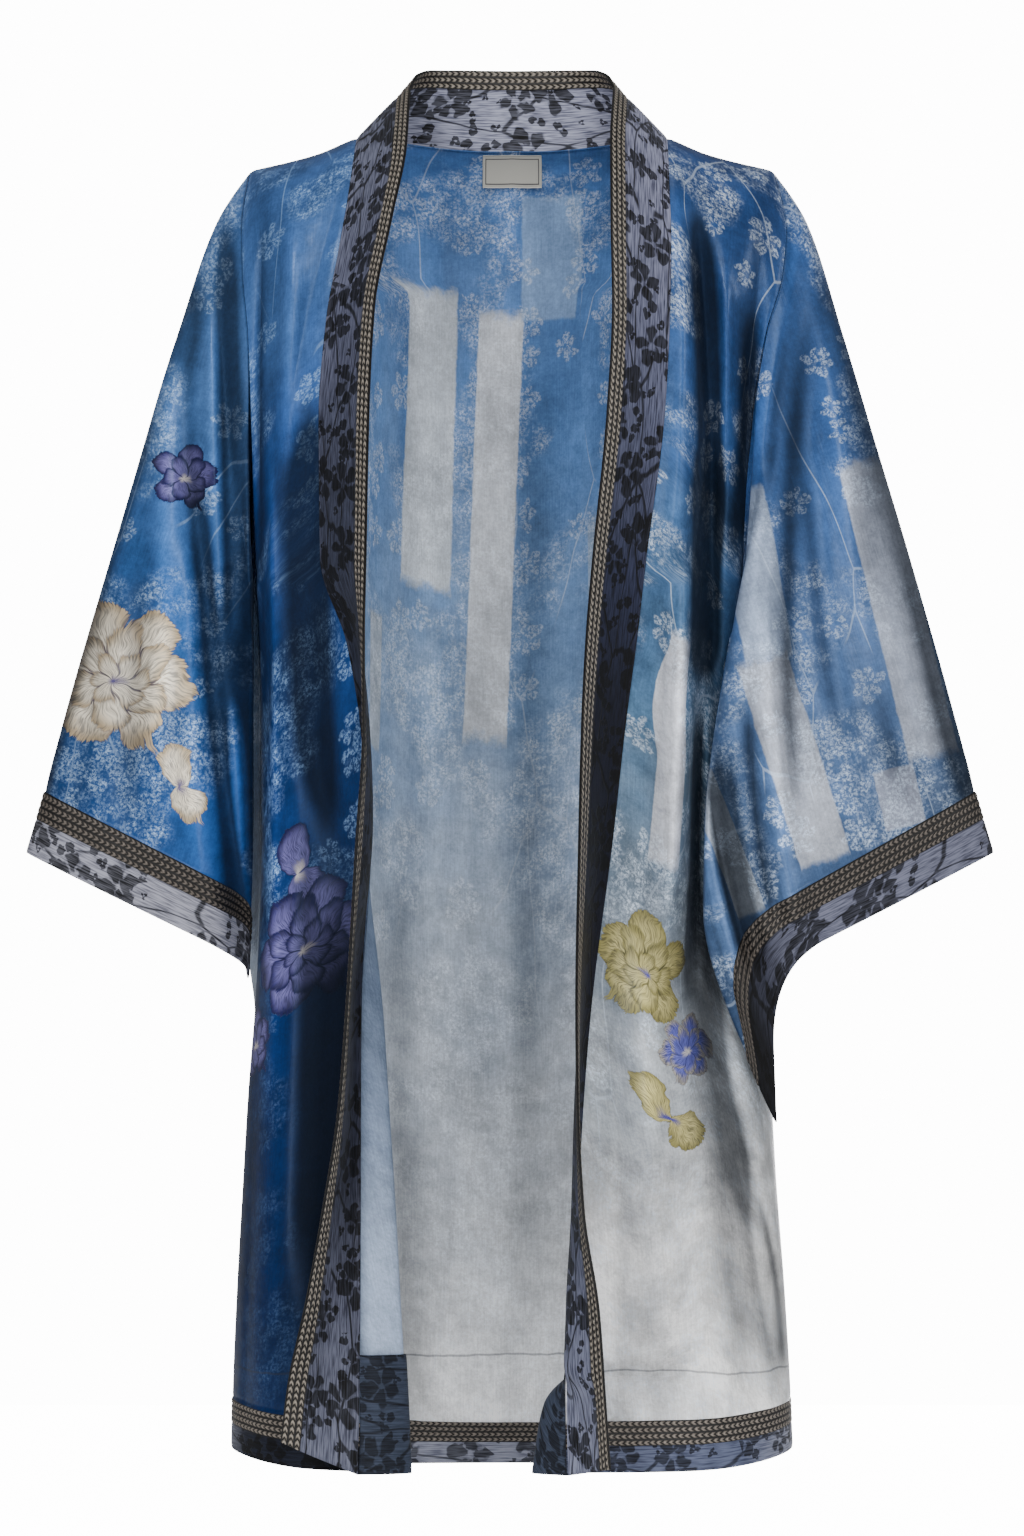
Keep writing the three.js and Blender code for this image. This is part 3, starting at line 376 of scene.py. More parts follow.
def clothShell(name, points, wall, side, ring=False, relief=None, uv=None, creaseShade=None, edgeThin=0.55):
    # two faces a wall apart along the surface's normals, closed at the free edges, quads throughout
    rows, cols = points.shape[:2]
    normals = gridNormals(points, ring, side)
    if relief is not None:
        points = points + normals * relief[..., None]
    half = np.full((rows, cols), wall / 2.0)
    half[[0, -1]] *= edgeThin
    if not ring:
        half[:, [0, -1]] *= edgeThin
    outer, inner = points + normals * half[..., None], points - normals * half[..., None]
    verts = np.concatenate([outer.reshape(-1, 3), inner.reshape(-1, 3)]) * mm
    count = rows * cols
    nextCol = (np.arange(cols) + 1) % cols
    i = np.arange(cols if ring else cols - 1)
    j = np.arange(rows - 1)
    ii, jj = np.meshgrid(i, j)
    a, b = jj * cols + ii, (jj + 1) * cols + ii
    c, d = (jj + 1) * cols + nextCol[ii], jj * cols + nextCol[ii]
    corners = [(ii, jj), (ii, jj + 1), (ii + 1, jj + 1), (ii + 1, jj)]
    quad = np.stack([a, b, c, d], -1).reshape(-1, 4)
    where = np.stack([np.stack(p, -1) for p in corners], -2).reshape(-1, 4, 2)
    flip = side > 0
    top, topAt = (quad, where) if flip else (quad[:, ::-1], where[:, ::-1])
    low, lowAt = (quad[:, ::-1] + count, where[:, ::-1]) if flip else (quad + count, where)
    faces, places = [top, low], [topAt, lowAt]

    def rim(p, q, pAt, qAt):  # joins the two faces along a free edge, p to q
        f = np.stack([q, p, p + count, q + count], -1)
        at = np.stack([qAt, pAt, pAt, qAt], -2)
        if not flip:
            f, at = f[:, ::-1], at[:, ::-1]
        faces.append(f)
        places.append(at)

    top0, last = i, (rows - 1) * cols
    rim(top0, nextCol[i], np.stack([i, 0 * i], -1), np.stack([i + 1, 0 * i], -1))
    bottom = np.full_like(i, rows - 1)
    rim(last + nextCol[i], last + i, np.stack([i + 1, bottom], -1), np.stack([i, bottom], -1))
    if not ring:
        rim((j + 1) * cols, j * cols, np.stack([0 * j, j + 1], -1), np.stack([0 * j, j], -1))
        right = np.full_like(j, cols - 1)
        rim(j * cols + cols - 1, (j + 1) * cols + cols - 1,
            np.stack([right, j], -1), np.stack([right, j + 1], -1))
    faces, places = np.concatenate(faces), np.concatenate(places)
    mesh = bpy.data.meshes.new(name)
    mesh.vertices.add(len(verts))
    mesh.vertices.foreach_set("co", verts.ravel())
    mesh.loops.add(faces.size)
    mesh.loops.foreach_set("vertex_index", faces.ravel())
    mesh.polygons.add(len(faces))
    mesh.polygons.foreach_set("loop_start", np.arange(0, faces.size, 4))
    mesh.polygons.foreach_set("use_smooth", np.ones(len(faces), bool))
    uv = arcLengths(points, ring) if uv is None else uv
    layer = mesh.uv_layers.new(name="cloth")
    layer.data.foreach_set("uv", uv[places[..., 1], places[..., 0]].reshape(-1).astype(np.float32))
    channels = {"inside": np.repeat([0.0, 1.0], count)}  # 0 on the outer face, 1 on the inner
    if creaseShade is not None:  # painted shade and highlight: 1 in a trough, -1 on a ridge, on both faces
        channels["creaseShade"] = np.tile(creaseShade.ravel(), 2)
    for key, values in channels.items():
        mesh.attributes.new(key, "FLOAT", "POINT").data.foreach_set("value", values.astype(np.float32))
    mesh.update()
    mesh.validate()
    piece = bpy.data.objects.new(name, mesh)
    bpy.context.scene.collection.objects.link(piece)
    return piece, uv


def dress(piece, node, material):  # the piece stands for a node and takes its slot and finish
    piece.data.materials.append(material)
    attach(piece, "root")
    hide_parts(node)


def nearestUv(points, uv, x, z):  # where a place seen from the front lies on the cloth
    front = points[:, :uv.shape[1]]
    gap = (front[..., 0] - x) ** 2 + (front[..., 2] - z) ** 2 + 0.02 * np.maximum(0, front[..., 1]) ** 2
    j, i = np.unravel_index(np.argmin(gap), gap.shape)
    return tuple(float(v) for v in uv[j, i])


# colours, nodes and patterns, at real sizes in metres
def linear(hexColour):  # sRGB hex to linear
    parts = [int(hexColour[k:k + 2], 16) / 255 for k in (1, 3, 5)]
    return tuple(p / 12.92 if p <= 0.04045 else ((p + 0.055) / 1.055) ** 2.4 for p in parts) + (1.0,)


def addNode(tree, kind, inputs=None, out=0, **settings):  # makes a node, sets and links it, gives one output
    node = tree.nodes.new("ShaderNode" + kind)
    for key, value in settings.items():
        if key != "stops":
            setattr(node, key, value)
    for k, (place, colour) in enumerate(settings.get("stops", [])):
        stop = node.color_ramp.elements[k] if k < 2 else node.color_ramp.elements.new(place)
        stop.position, stop.color = place, linear(colour)
    for socket, value in (inputs or {}).items():
        if isinstance(value, bpy.types.NodeSocket):
            tree.links.new(value, node.inputs[socket])
        else:
            node.inputs[socket].default_value = value
    return node.outputs[out]


soft = {"interpolation_type": "SMOOTHSTEP"}
flatNoise = {"noise_dimensions": "2D"}
rgba = {"data_type": "RGBA"}


def newMaterial(name):  # an empty material, its tree and its surface socket
    material = bpy.data.materials.new(name)
    material.use_nodes = True
    material.node_tree.nodes.remove(material.node_tree.nodes["Principled BSDF"])
    return material, material.node_tree, material.node_tree.nodes["Material Output"].inputs["Surface"]


def product(tree, *masks):  # masks or numbers multiplied together
    total = masks[0]
    for mask in masks[1:]:
        total = addNode(tree, "Math", {0: total, 1: mask}, operation="MULTIPLY")
    return total


def largest(tree, *masks):  # the largest of the masks
    total = masks[0]
    for mask in masks[1:]:
        total = addNode(tree, "Math", {0: total, 1: mask}, operation="MAXIMUM")
    return total


def polar(tree, place):  # distance from the middle, and angle round it
    x = addNode(tree, "SeparateXYZ", {0: place}, "X")
    return (addNode(tree, "VectorMath", {0: place}, "Value", operation="LENGTH"),
            addNode(tree, "Math", {0: x.node.outputs["Y"], 1: x}, operation="ARCTAN2"))


def offMiddle(tree, steps):  # distance from the middle of each whole step
    part = addNode(tree, "Math", {0: steps}, operation="FRACT")
    centred = addNode(tree, "Math", {0: part, 1: 0.5}, operation="SUBTRACT")
    return addNode(tree, "Math", {0: centred}, operation="ABSOLUTE")


def blossoms(tree, uv, cell, radius, petals, share, seed, pinch=0.45, veined=0.5):
    # one flower in each Voronoi cell that is switched on;
    # its edge is 1 - pinch + pinch * |cos(petals * angle / 2)|
    moved = addNode(tree, "VectorMath", {0: uv, 1: (seed * 0.137, seed * 0.071, 0)}, operation="ADD")
    scaled = addNode(tree, "VectorMath", {0: moved, 3: 1 / cell}, operation="SCALE")
    centre = addNode(tree, "TexVoronoi", {"Vector": scaled, "Scale": 1.0, "Randomness": 0.85}, "Position",
                     voronoi_dimensions="2D")
    dice = addNode(tree, "SeparateColor", {0: centre.node.outputs["Color"]}, "Red")
    bend = addNode(tree, "TexNoise", {"Vector": scaled, "Scale": 3.6, "Detail": 1.5}, "Color", **flatNoise)
    bent = addNode(tree, "VectorMath", {0: bend, 1: (0.24, 0.24, 0), 2: scaled}, operation="MULTIPLY_ADD")
    rest = addNode(tree, "VectorMath", {0: bent, 1: centre}, operation="SUBTRACT")
    local = addNode(tree, "VectorMath", {0: rest, 1: (0.12, 0.12, 0)}, operation="SUBTRACT")
    far, angle = polar(tree, local)
    turn = addNode(tree, "Math", {0: dice.node.outputs["Green"], 1: 6.3, 2: angle}, operation="MULTIPLY_ADD")
    wave = addNode(tree, "Math", {0: product(tree, turn, petals / 2)}, operation="COSINE")
    lobe = addNode(tree, "Math", {0: wave}, operation="ABSOLUTE")
    reach = addNode(tree, "Math", {0: lobe, 1: pinch, 2: 1 - pinch}, operation="MULTIPLY_ADD")
    size = addNode(tree, "Math", {0: dice.node.outputs["Blue"], 1: 0.5, 2: 0.6}, operation="MULTIPLY_ADD")
    edge = product(tree, reach, size, radius / cell)
    inside = addNode(tree, "Math", {0: edge, 1: far}, operation="SUBTRACT")
    mask = addNode(tree, "MapRange", {0: inside, 1: 0.0, 2: 0.05}, **soft)
    heart = addNode(tree, "MapRange", {0: far, 1: 0.10 * radius / cell, 2: 0.2 * radius / cell}, **soft)
    veins = addNode(tree, "MapRange", {0: lobe, 1: 0.25, 2: 0.55, 3: 1 - veined, 4: 1.0}, **soft)
    on = addNode(tree, "Math", {0: dice, 1: 1 - share}, operation="GREATER_THAN")
    return product(tree, mask, heart, veins, on)


def twigs(tree, uv, cell, width, turn, seed, share):
    # borders of long Voronoi cells, gently bent and broken by noise: thin stems that fork
    moved = addNode(tree, "Mapping", {0: uv, 1: (seed * 0.31, seed * 0.17, 0), 2: (0, 0, turn),
                                      3: (1 / cell[0], 1 / cell[1], 1)})
    wobble = addNode(tree, "TexNoise", {"Vector": moved, "Scale": 1.3, "Detail": 1.5}, "Color", **flatNoise)
    bent = addNode(tree, "VectorMath", {0: wobble, 1: (0.3, 0.3, 0), 2: moved}, operation="MULTIPLY_ADD")
    edge = addNode(tree, "TexVoronoi", {"Vector": bent, "Scale": 1.0, "Randomness": 1.0}, "Distance",
                   voronoi_dimensions="2D", feature="DISTANCE_TO_EDGE")
    line = addNode(tree, "MapRange", {0: edge, 1: width / min(cell), 2: width / min(cell) * 0.3}, **soft)
    gaps = addNode(tree, "TexNoise", {"Vector": moved, "Scale": 0.9, "Detail": 1.0}, **flatNoise)
    kept = addNode(tree, "MapRange", {0: gaps, 1: 1 - share, 2: 1.06 - share}, **soft)
    return product(tree, line, kept)


def strip(tree, uv, ragged, at, size, turn):
    # a straight patch of other cloth: the larger of |x| and |y| in its own turned and scaled frame,
    # its edge a little ragged
    local = addNode(tree, "VectorMath", {0: uv, 1: (at[0], at[1], 0)}, operation="SUBTRACT")
    spun = addNode(tree, "VectorRotate", {"Vector": local, "Angle": math.radians(turn)},
                   rotation_type="Z_AXIS")
    scaled = addNode(tree, "VectorMath", {0: spun, 1: (2 / size[0], 2 / size[1], 0)}, operation="MULTIPLY")
    folded = addNode(tree, "VectorMath", {0: scaled}, operation="ABSOLUTE")
    x = addNode(tree, "SeparateXYZ", {0: folded}, "X")
    far = addNode(tree, "Math", {0: x, 1: x.node.outputs["Y"]}, operation="MAXIMUM")
    frayed = addNode(tree, "Math", {0: ragged, 1: 0.14, 2: far}, operation="MULTIPLY_ADD")
    return addNode(tree, "MapRange", {0: frayed, 1: 1.12, 2: 1.03}, **soft)


def bloom(tree, uv, under, at, radius, turn, petals, heart, middle, tip, veinAndShadow, lift=0.42, rings=3):
    # a large satin-stitched flower or spray: rings of petals laid over each other, streaked with threads that
    # run outwards, dark between the petals, with a painted shadow along each ring's edge; two petals with a
    # high lift make a pair of leaves
    local = addNode(tree, "VectorMath", {0: uv, 1: (at[0], at[1], 0)}, operation="SUBTRACT")
    unit = addNode(tree, "VectorMath", {0: local, 3: 1 / radius}, operation="SCALE")
    bend = addNode(tree, "TexNoise", {"Vector": unit, "Scale": 1.4, "Detail": 2.0}, "Color", **flatNoise)
    moved = addNode(tree, "VectorMath", {0: bend, 1: (0.5, 0.5, 0), 2: unit}, operation="MULTIPLY_ADD")
    bent = addNode(tree, "VectorMath", {0: moved, 1: (0.25, 0.25, 0)}, operation="SUBTRACT")
    far, angle = polar(tree, bent)
    thread = addNode(tree, "CombineXYZ", {0: product(tree, angle, 18.0), 1: product(tree, far, 3.4)})
    streak = addNode(tree, "TexNoise", {"Vector": thread, "Scale": 1.3, "Detail": 2.0, "Roughness": 0.7},
                     **flatNoise)
    colour, whole = under, None
    for ring, (reach, offset) in enumerate([(1.0, 0.0), (0.68, 0.5), (0.40, 0.2)][:rings]):
        phase = addNode(tree, "Math", {0: angle, 1: petals / 2, 2: turn + offset * math.pi},
                        operation="MULTIPLY_ADD")
        wave = addNode(tree, "Math", {0: addNode(tree, "Math", {0: phase}, operation="COSINE")},
                       operation="ABSOLUTE")
        lobe = addNode(tree, "Math", {0: wave, 1: 0.6 if lift < 0.7 else 2.6}, operation="POWER")
        edge = addNode(tree, "Math", {0: lobe, 1: lift * reach, 2: reach * (1 - lift) - 0.06},
                       operation="MULTIPLY_ADD")
        rough = addNode(tree, "Math", {0: streak, 1: 0.16, 2: edge}, operation="MULTIPLY_ADD")
        inside = addNode(tree, "Math", {0: rough, 1: far}, operation="SUBTRACT")
        mask = addNode(tree, "MapRange", {0: inside, 1: 0.0, 2: 0.03}, **soft)
        share = addNode(tree, "Math", {0: far, 1: rough}, operation="DIVIDE")
        mixed = addNode(tree, "Math", {0: streak, 1: 0.5, 2: share}, operation="MULTIPLY_ADD")
        petal = addNode(tree, "ValToRGB", {0: product(tree, mixed, 0.8)}, stops=[
            (0.25, heart), (0.95, tip), (0.45, middle), (0.75, middle)])
        between = addNode(tree, "MapRange", {0: wave, 1: 0.12, 2: 0.30, 3: 0.75, 4: 0.0}, **soft)
        # painted shadow: a dark line along each ring's edge, where it lies over the ring below
        rim = addNode(tree, "MapRange", {0: inside, 1: 0.035, 2: 0.015, 3: 0.0, 4: 0.6}, **soft)
        lined = addNode(tree, "Mix", {0: largest(tree, between, rim), 6: petal, 7: linear(veinAndShadow)}, 2, **rgba)
        colour = addNode(tree, "Mix", {0: mask, 6: colour, 7: lined}, 2, **rgba)
        whole = mask if whole is None else whole
    dark = addNode(tree, "MapRange", {0: streak, 1: 0.36, 2: 0.60, 3: 0.42, 4: 1.25})
    threads = addNode(tree, "VectorMath", {0: colour, 3: dark}, operation="SCALE")
    return addNode(tree, "Mix", {0: whole, 6: colour, 7: threads}, 2, **rgba), whole


# sizes of the printed sprays: cells that hold a motif and the motif's radius or width
sprays = {"floretCell": 0.0100, "floret": 0.0070, "flowerCell": 0.038, "flower": 0.0150,
          "stemCell": (0.060, 0.19), "stem": 0.0006}


def satin(name, found, look):
    # Silk satin, dyed and printed: long floats give a soft broad gloss that breaks along the folds;
    # tone-on-tone sprays sit in the ground and slubs run down the cloth.
    material, tree, surface = newMaterial(name)
    uv = addNode(tree, "UVMap", uv_map="cloth")
    down = addNode(tree, "SeparateXYZ", {0: uv}, "Y")
    # noise by scale, detail and roughness: broad mottle, fibres, blots, wear, clouds of print, puckers
    mottle, fine, blot, wear, cloud, pucker = [
        addNode(tree, "TexNoise", {"Vector": uv, "Scale": scale, "Detail": detail, "Roughness": uneven},
                **flatNoise)
        for scale, detail, uneven in [(9.0, 4.0, 0.6), (430.0, 2.0, 0.8), (75.0, 3.0, 0.7),
                                      (17.0, 7.0, 0.74), (13.0, 2.5, 0.5), (48.0, 3.0, 0.5)]]
    shift = addNode(tree, "Math", {0: mottle, 1: 0.22, 2: -0.11}, operation="MULTIPLY_ADD")
    level = addNode(tree, "Math", {0: down, 1: shift}, operation="ADD")
    ground = addNode(tree, "ValToRGB", {0: level}, stops=look["ground"])
    for at, size, turn, colour, strength in found["strips"]:
        mask = product(tree, strip(tree, uv, blot, at, size, turn), strength)
        ground = addNode(tree, "Mix", {0: mask, 6: ground, 7: linear(colour)}, 2, **rgba)
    if "inside" in look:  # the wrong side is paler than the face
        wrongSide = addNode(tree, "Attribute", {}, "Fac", attribute_name="inside")
        pale = addNode(tree, "ValToRGB", {0: level}, stops=look["inside"])
        ground = addNode(tree, "Mix", {0: wrongSide, 6: ground, 7: pale}, 2, **rgba)
    # painted light and shade: broad lighter and darker passages along the drape
    long = addNode(tree, "VectorMath", {0: uv, 1: (21.0, 3.2, 0)}, operation="MULTIPLY")
    passage = addNode(tree, "TexNoise", {"Vector": long, "Scale": 1.0, "Detail": 2.0}, **flatNoise)
    play = look["play"]
    drapeShade = addNode(tree, "MapRange", {0: passage, 1: 0.32, 2: 0.68, 3: 1 - play, 4: 1 + play})
    clouded = addNode(tree, "MapRange", {0: wear, 1: 0.38, 2: 0.6, 3: look["mottle"], 4: 1.07})
    # speckled clouds of small round florets, single blossoms and stems, each at its real size
    cloudMask = addNode(tree, "MapRange", {0: cloud, 1: 0.45, 2: 0.56}, **soft)
    florets = blossoms(tree, uv, sprays["floretCell"], sprays["floret"], 5, 0.85, look["seed"], 0.22, 0.5)
    speckle = addNode(tree, "MapRange", {0: fine, 1: 0.42, 2: 0.58, 3: 0.08, 4: 1.0})
    blotted = addNode(tree, "MapRange", {0: blot, 1: 0.34, 2: 0.58})
    flowers = blossoms(tree, uv, sprays["flowerCell"], sprays["flower"], 6, 0.55, look["seed"] + 3, 0.3, 0.8)
    stems = twigs(tree, uv, sprays["stemCell"], sprays["stem"], 0.3, look["seed"], 0.5)
    haze = product(tree, cloudMask, blotted, speckle, 0.5)
    clusters = product(tree, florets, cloudMask, speckle, blotted)
    single = product(tree, flowers, speckle, 0.75)
    printMask = largest(tree, haze, clusters, single, product(tree, stems, 0.6))
    fadeFrom, fadeTo, left = look["fade"]
    faded = addNode(tree, "MapRange", {0: level, 1: fadeFrom, 2: fadeTo, 3: 1.0, 4: left})
    inked = product(tree, printMask, look["printStrength"], faded)
    colour = addNode(tree, "Mix", {0: inked, 6: ground, 7: linear(look["print"])}, 2, **rgba)
    # slubs: noise drawn long down the cloth, about 1 mm across
    drawn = addNode(tree, "VectorMath", {0: uv, 1: (800.0, 45.0, 0)}, operation="MULTIPLY")
    slub = addNode(tree, "TexNoise", {"Vector": drawn, "Scale": 1.0, "Detail": 2.0}, **flatNoise)
    tone = addNode(tree, "MapRange", {0: slub, 1: 0.3, 2: 0.7, 3: 0.92, 4: 1.08})
    grainy = addNode(tree, "MapRange", {0: fine, 1: 0.35, 2: 0.65, 3: 0.90, 4: 1.09})
    patchy = addNode(tree, "MapRange", {0: blot, 1: 0.36, 2: 0.62, 3: 0.90, 4: 1.08})
    # slub tone, painted drape light and shade, wear, fibre grain and blots, multiplied together
    worn = product(tree, tone, drapeShade, clouded, grainy, patchy)
    colour = addNode(tree, "VectorMath", {0: colour, 3: worn}, operation="SCALE")
    stitched = None
    for flower in found["blooms"]:
        colour, mask = bloom(tree, uv, colour, **flower)
        stitched = mask if stitched is None else largest(tree, stitched, mask)
    # hem turn-up: one thin, slightly uneven line of stitches
    if "hemLine" in found:
        place = addNode(tree, "SeparateXYZ", {0: addNode(tree, "TexCoord", {}, "Object")}, "Z")
        uneven = addNode(tree, "Math", {0: mottle, 1: 0.012, 2: place}, operation="MULTIPLY_ADD")
        off = addNode(tree, "Math", {0: uneven, 1: found["hemLine"]}, operation="SUBTRACT")
        near = addNode(tree, "Math", {0: off}, operation="ABSOLUTE")
        line = addNode(tree, "MapRange", {0: near, 1: 0.0011, 2: 0.0004, 3: 0.0, 4: 0.55}, **soft)
        colour = addNode(tree, "Mix", {0: line, 6: colour, 7: linear(look["stitch"])}, 2, **rgba)
    # painted shade and highlight: the colour goes near black in a fold's trough and is lightened along a
    # ridge
    fold = addNode(tree, "Attribute", {}, "Fac", attribute_name="creaseShade")
    ridgeLight = addNode(tree, "MapRange", {0: fold, 1: -0.45, 2: 0.0, 3: look["ridgeHighlight"], 4: 1.0})
    troughDark = addNode(tree, "MapRange", {0: fold, 1: 0.0, 2: 0.8, 3: 1.0, 4: look["hollow"]}, **soft)
    colour = addNode(tree, "VectorMath", {0: colour, 3: product(tree, ridgeLight, troughDark)}, operation="SCALE")
    # weave and puckers as height, in metres
    height = addNode(tree, "Math", {0: pucker, 1: 0.0012, 2: product(tree, slub, 0.00012)},
                     operation="MULTIPLY_ADD")
    if stitched is not None:
        height = addNode(tree, "Math", {0: stitched, 1: 0.0005, 2: height}, operation="MULTIPLY_ADD")
    normal = addNode(tree, "Bump", {"Height": height, "Strength": 0.6, "Distance": 1.0})
    printed = addNode(tree, "Math", {0: printMask, 1: 0.14, 2: look["rough"]}, operation="MULTIPLY_ADD")
    dull = addNode(tree, "MapRange", {0: troughDark, 1: 1.0, 2: look["hollow"], 3: 0.0, 4: 0.5})
    rough = addNode(tree, "Math", {0: printed, 1: dull}, operation="ADD")
    tree.links.new(addNode(tree, "BsdfPrincipled", {
        "Base Color": colour, "Roughness": rough, "Normal": normal, "Specular IOR Level": look["gloss"],
        "Specular Tint": linear(look["sheen"]), "Sheen Weight": 0.03, "Sheen Roughness": 0.4,
        "Sheen Tint": linear(look["sheen"])}), surface)
    return material


# sizes of the woven sprigs, given in the same way
figures = {"roseCell": 0.034, "rose": 0.0185, "budCell": 0.0125, "bud": 0.0048,
           "leafCell": 0.0150, "leaf": 0.0085, "stemCell": (0.075, 0.024), "stem": 0.0010}


def figured(name, look, length=1.0):
    # Jacquard band: matt grey-violet ground with thread streaks along it, dark woven sprigs and thin stems.
    material, tree, surface = newMaterial(name)
    uv = addNode(tree, "UVMap", uv_map="cloth")
    ribs = addNode(tree, "VectorMath", {0: uv, 1: (60.0, 900.0, 0)}, operation="MULTIPLY")
    rib = addNode(tree, "TexNoise", {"Vector": ribs, "Scale": 1.0, "Detail": 2.0}, **flatNoise)
    base = addNode(tree, "ValToRGB", {0: rib}, stops=[(0.3, look["groundDark"]), (0.62, look["groundLight"])])
    roses = blossoms(tree, uv, figures["roseCell"], figures["rose"], 5, 0.85, look["seed"], 0.45, 0.62)
    buds = blossoms(tree, uv, figures["budCell"], figures["bud"], 3, 0.34, look["seed"] + 5, 0.6, 0.0)
    leaves = blossoms(tree, uv, figures["leafCell"], figures["leaf"], 2, 0.3, look["seed"] + 9, 0.95, 0.0)
    stems = twigs(tree, uv, figures["stemCell"], figures["stem"], 0.25, look["seed"] + 2, 0.72)
    dark = largest(tree, roses, buds, leaves, stems)
    worn = addNode(tree, "MapRange", {0: rib, 1: 0.3, 2: 0.6, 3: 1.0, 4: 0.8})
    ink = product(tree, dark, worn, look["strength"])
    colour = addNode(tree, "Mix", {0: ink, 6: base, 7: linear(look["sprig"])}, 2, **rgba)
    # the light falls off unevenly along the band as it turns and hangs
    along = addNode(tree, "SeparateXYZ", {0: uv}, "X")
    shade = addNode(tree, "ValToRGB", {0: product(tree, along, 1 / length)}, stops=look["shade"])
    colour = addNode(tree, "Mix", {0: 1.0, 6: colour, 7: shade}, 2, blend_type="MULTIPLY", **rgba)
    height = addNode(tree, "Math", {0: rib, 1: 0.00022, 2: product(tree, dark, 0.00028)},
                     operation="MULTIPLY_ADD")
    normal = addNode(tree, "Bump", {"Height": height, "Strength": 0.7, "Distance": 1.0})
    tree.links.new(addNode(tree, "BsdfPrincipled", {
        "Base Color": colour, "Roughness": 0.68, "Normal": normal, "Specular IOR Level": 0.18,
        "Sheen Weight": 0.03, "Sheen Roughness": 0.5}), surface)
    return material


def chainBraid(name, look):
    # Flat chain braid: rows of slanting taupe loops, near-black between rows; uv runs (length, 0..1 across).
    material, tree, surface = newMaterial(name)
    uv = addNode(tree, "UVMap", uv_map="cloth")
    s = addNode(tree, "SeparateXYZ", {0: uv}, "X")
    lane = product(tree, s.node.outputs["Y"], float(look["rows"]))
    number = addNode(tree, "Math", {0: lane}, operation="FLOOR")
    off = offMiddle(tree, lane)
    wobble = addNode(tree, "TexNoise", {"Vector": uv, "Scale": 160.0, "Detail": 1.0}, **flatNoise)
    slant = addNode(tree, "Math", {0: off, 1: 1.3, 2: product(tree, wobble, 0.7)},
                    operation="MULTIPLY_ADD")
    along = addNode(tree, "Math", {0: s, 1: 1 / look["pitch"], 2: slant}, operation="MULTIPLY_ADD")
    stepped = addNode(tree, "Math", {0: number, 1: 0.37, 2: along}, operation="MULTIPLY_ADD")
    gapLoop = addNode(tree, "MapRange", {0: offMiddle(tree, stepped), 1: 0.42, 2: 0.16}, **soft)
    gapLane = addNode(tree, "MapRange", {0: off, 1: 0.42, 2: 0.20}, **soft)
    light = product(tree, gapLoop, gapLane)
    fibre = addNode(tree, "TexNoise", {"Vector": uv, "Scale": 700.0, "Detail": 2.0}, **flatNoise)
    lit = addNode(tree, "MapRange", {0: fibre, 1: 0.3, 2: 0.7, 3: 0.35, 4: 1.2})
    colour = addNode(tree, "Mix", {0: product(tree, light, lit), 6: linear(look["gap"]),
                                   7: linear(look["thread"])}, 2, **rgba)
    normal = addNode(tree, "Bump", {"Height": product(tree, light, 0.0007), "Strength": 0.9, "Distance": 1.0})
    tree.links.new(addNode(tree, "BsdfPrincipled", {
        "Base Color": colour, "Roughness": 0.55, "Normal": normal, "Specular IOR Level": 0.4}), surface)
    return material


studio = {"distance": 6.0, "height": -0.449, "frameHeight": 1.106, "floorLevel": -1.03, "floorReach": 1.6,
          "floorGlow": 0.1, "ambient": 0.22, "backdrop": 14.0}
# each light: place, what it points at, size in metres, watts
lights = {
    "key": ((-1.4, -2.8, 1.9), (0, 0, -0.4), 0.8, 84),
    "front": ((0.6, -3.6, 1.2), (0, 0.1, -0.6), 1.5, 66),
    "low": ((0.5, -3.2, -0.8), (0.1, 0.1, -0.8), 1.4, 24),
    "side": ((3.0, -0.9, 0.5), (0, 0, -0.5), 0.8, 24),
    "top": ((0.3, -0.2, 2.2), (0, 0, -0.4), 1.0, 10),
    "back": ((0.6, 2.7, -0.2), (0, 0, -0.4), 1.6, 45)}
camera = bpy.data.objects.new("camera", bpy.data.cameras.new("camera"))
bpy.context.scene.collection.objects.link(camera)
camera.location = (0.0, -studio["distance"], studio["height"])
camera.rotation_euler = (math.pi / 2, 0, 0)
camera.data.lens = 36 * studio["distance"] / studio["frameHeight"]
camera.data.clip_end = 60
bpy.context.scene.camera = camera


def softLight(name, place, target, size, watts):  # a round lamp turned to its target
    light = bpy.data.objects.new(name, bpy.data.lights.new(name, "AREA"))
    bpy.context.scene.collection.objects.link(light)
    light.data.shape, light.data.size, light.data.energy = "DISK", size, watts
    light.location = place
    light.rotation_euler = (Vector(target) - Vector(place)).to_track_quat("-Z", "Y").to_euler()


for name, setting in lights.items():
    softLight(name, *setting)

world = bpy.data.worlds.new("studio")
bpy.context.scene.world = world
world.use_nodes = True
seen = addNode(world.node_tree, "LightPath", {}, "Is Camera Ray")
strength = addNode(world.node_tree, "MapRange", {0: seen, 3: studio["ambient"], 4: studio["backdrop"]})
world.node_tree.links.new(strength, world.node_tree.nodes["Background"].inputs["Strength"])
world.node_tree.nodes["Background"].inputs["Color"].default_value = (1, 1, 1, 1)

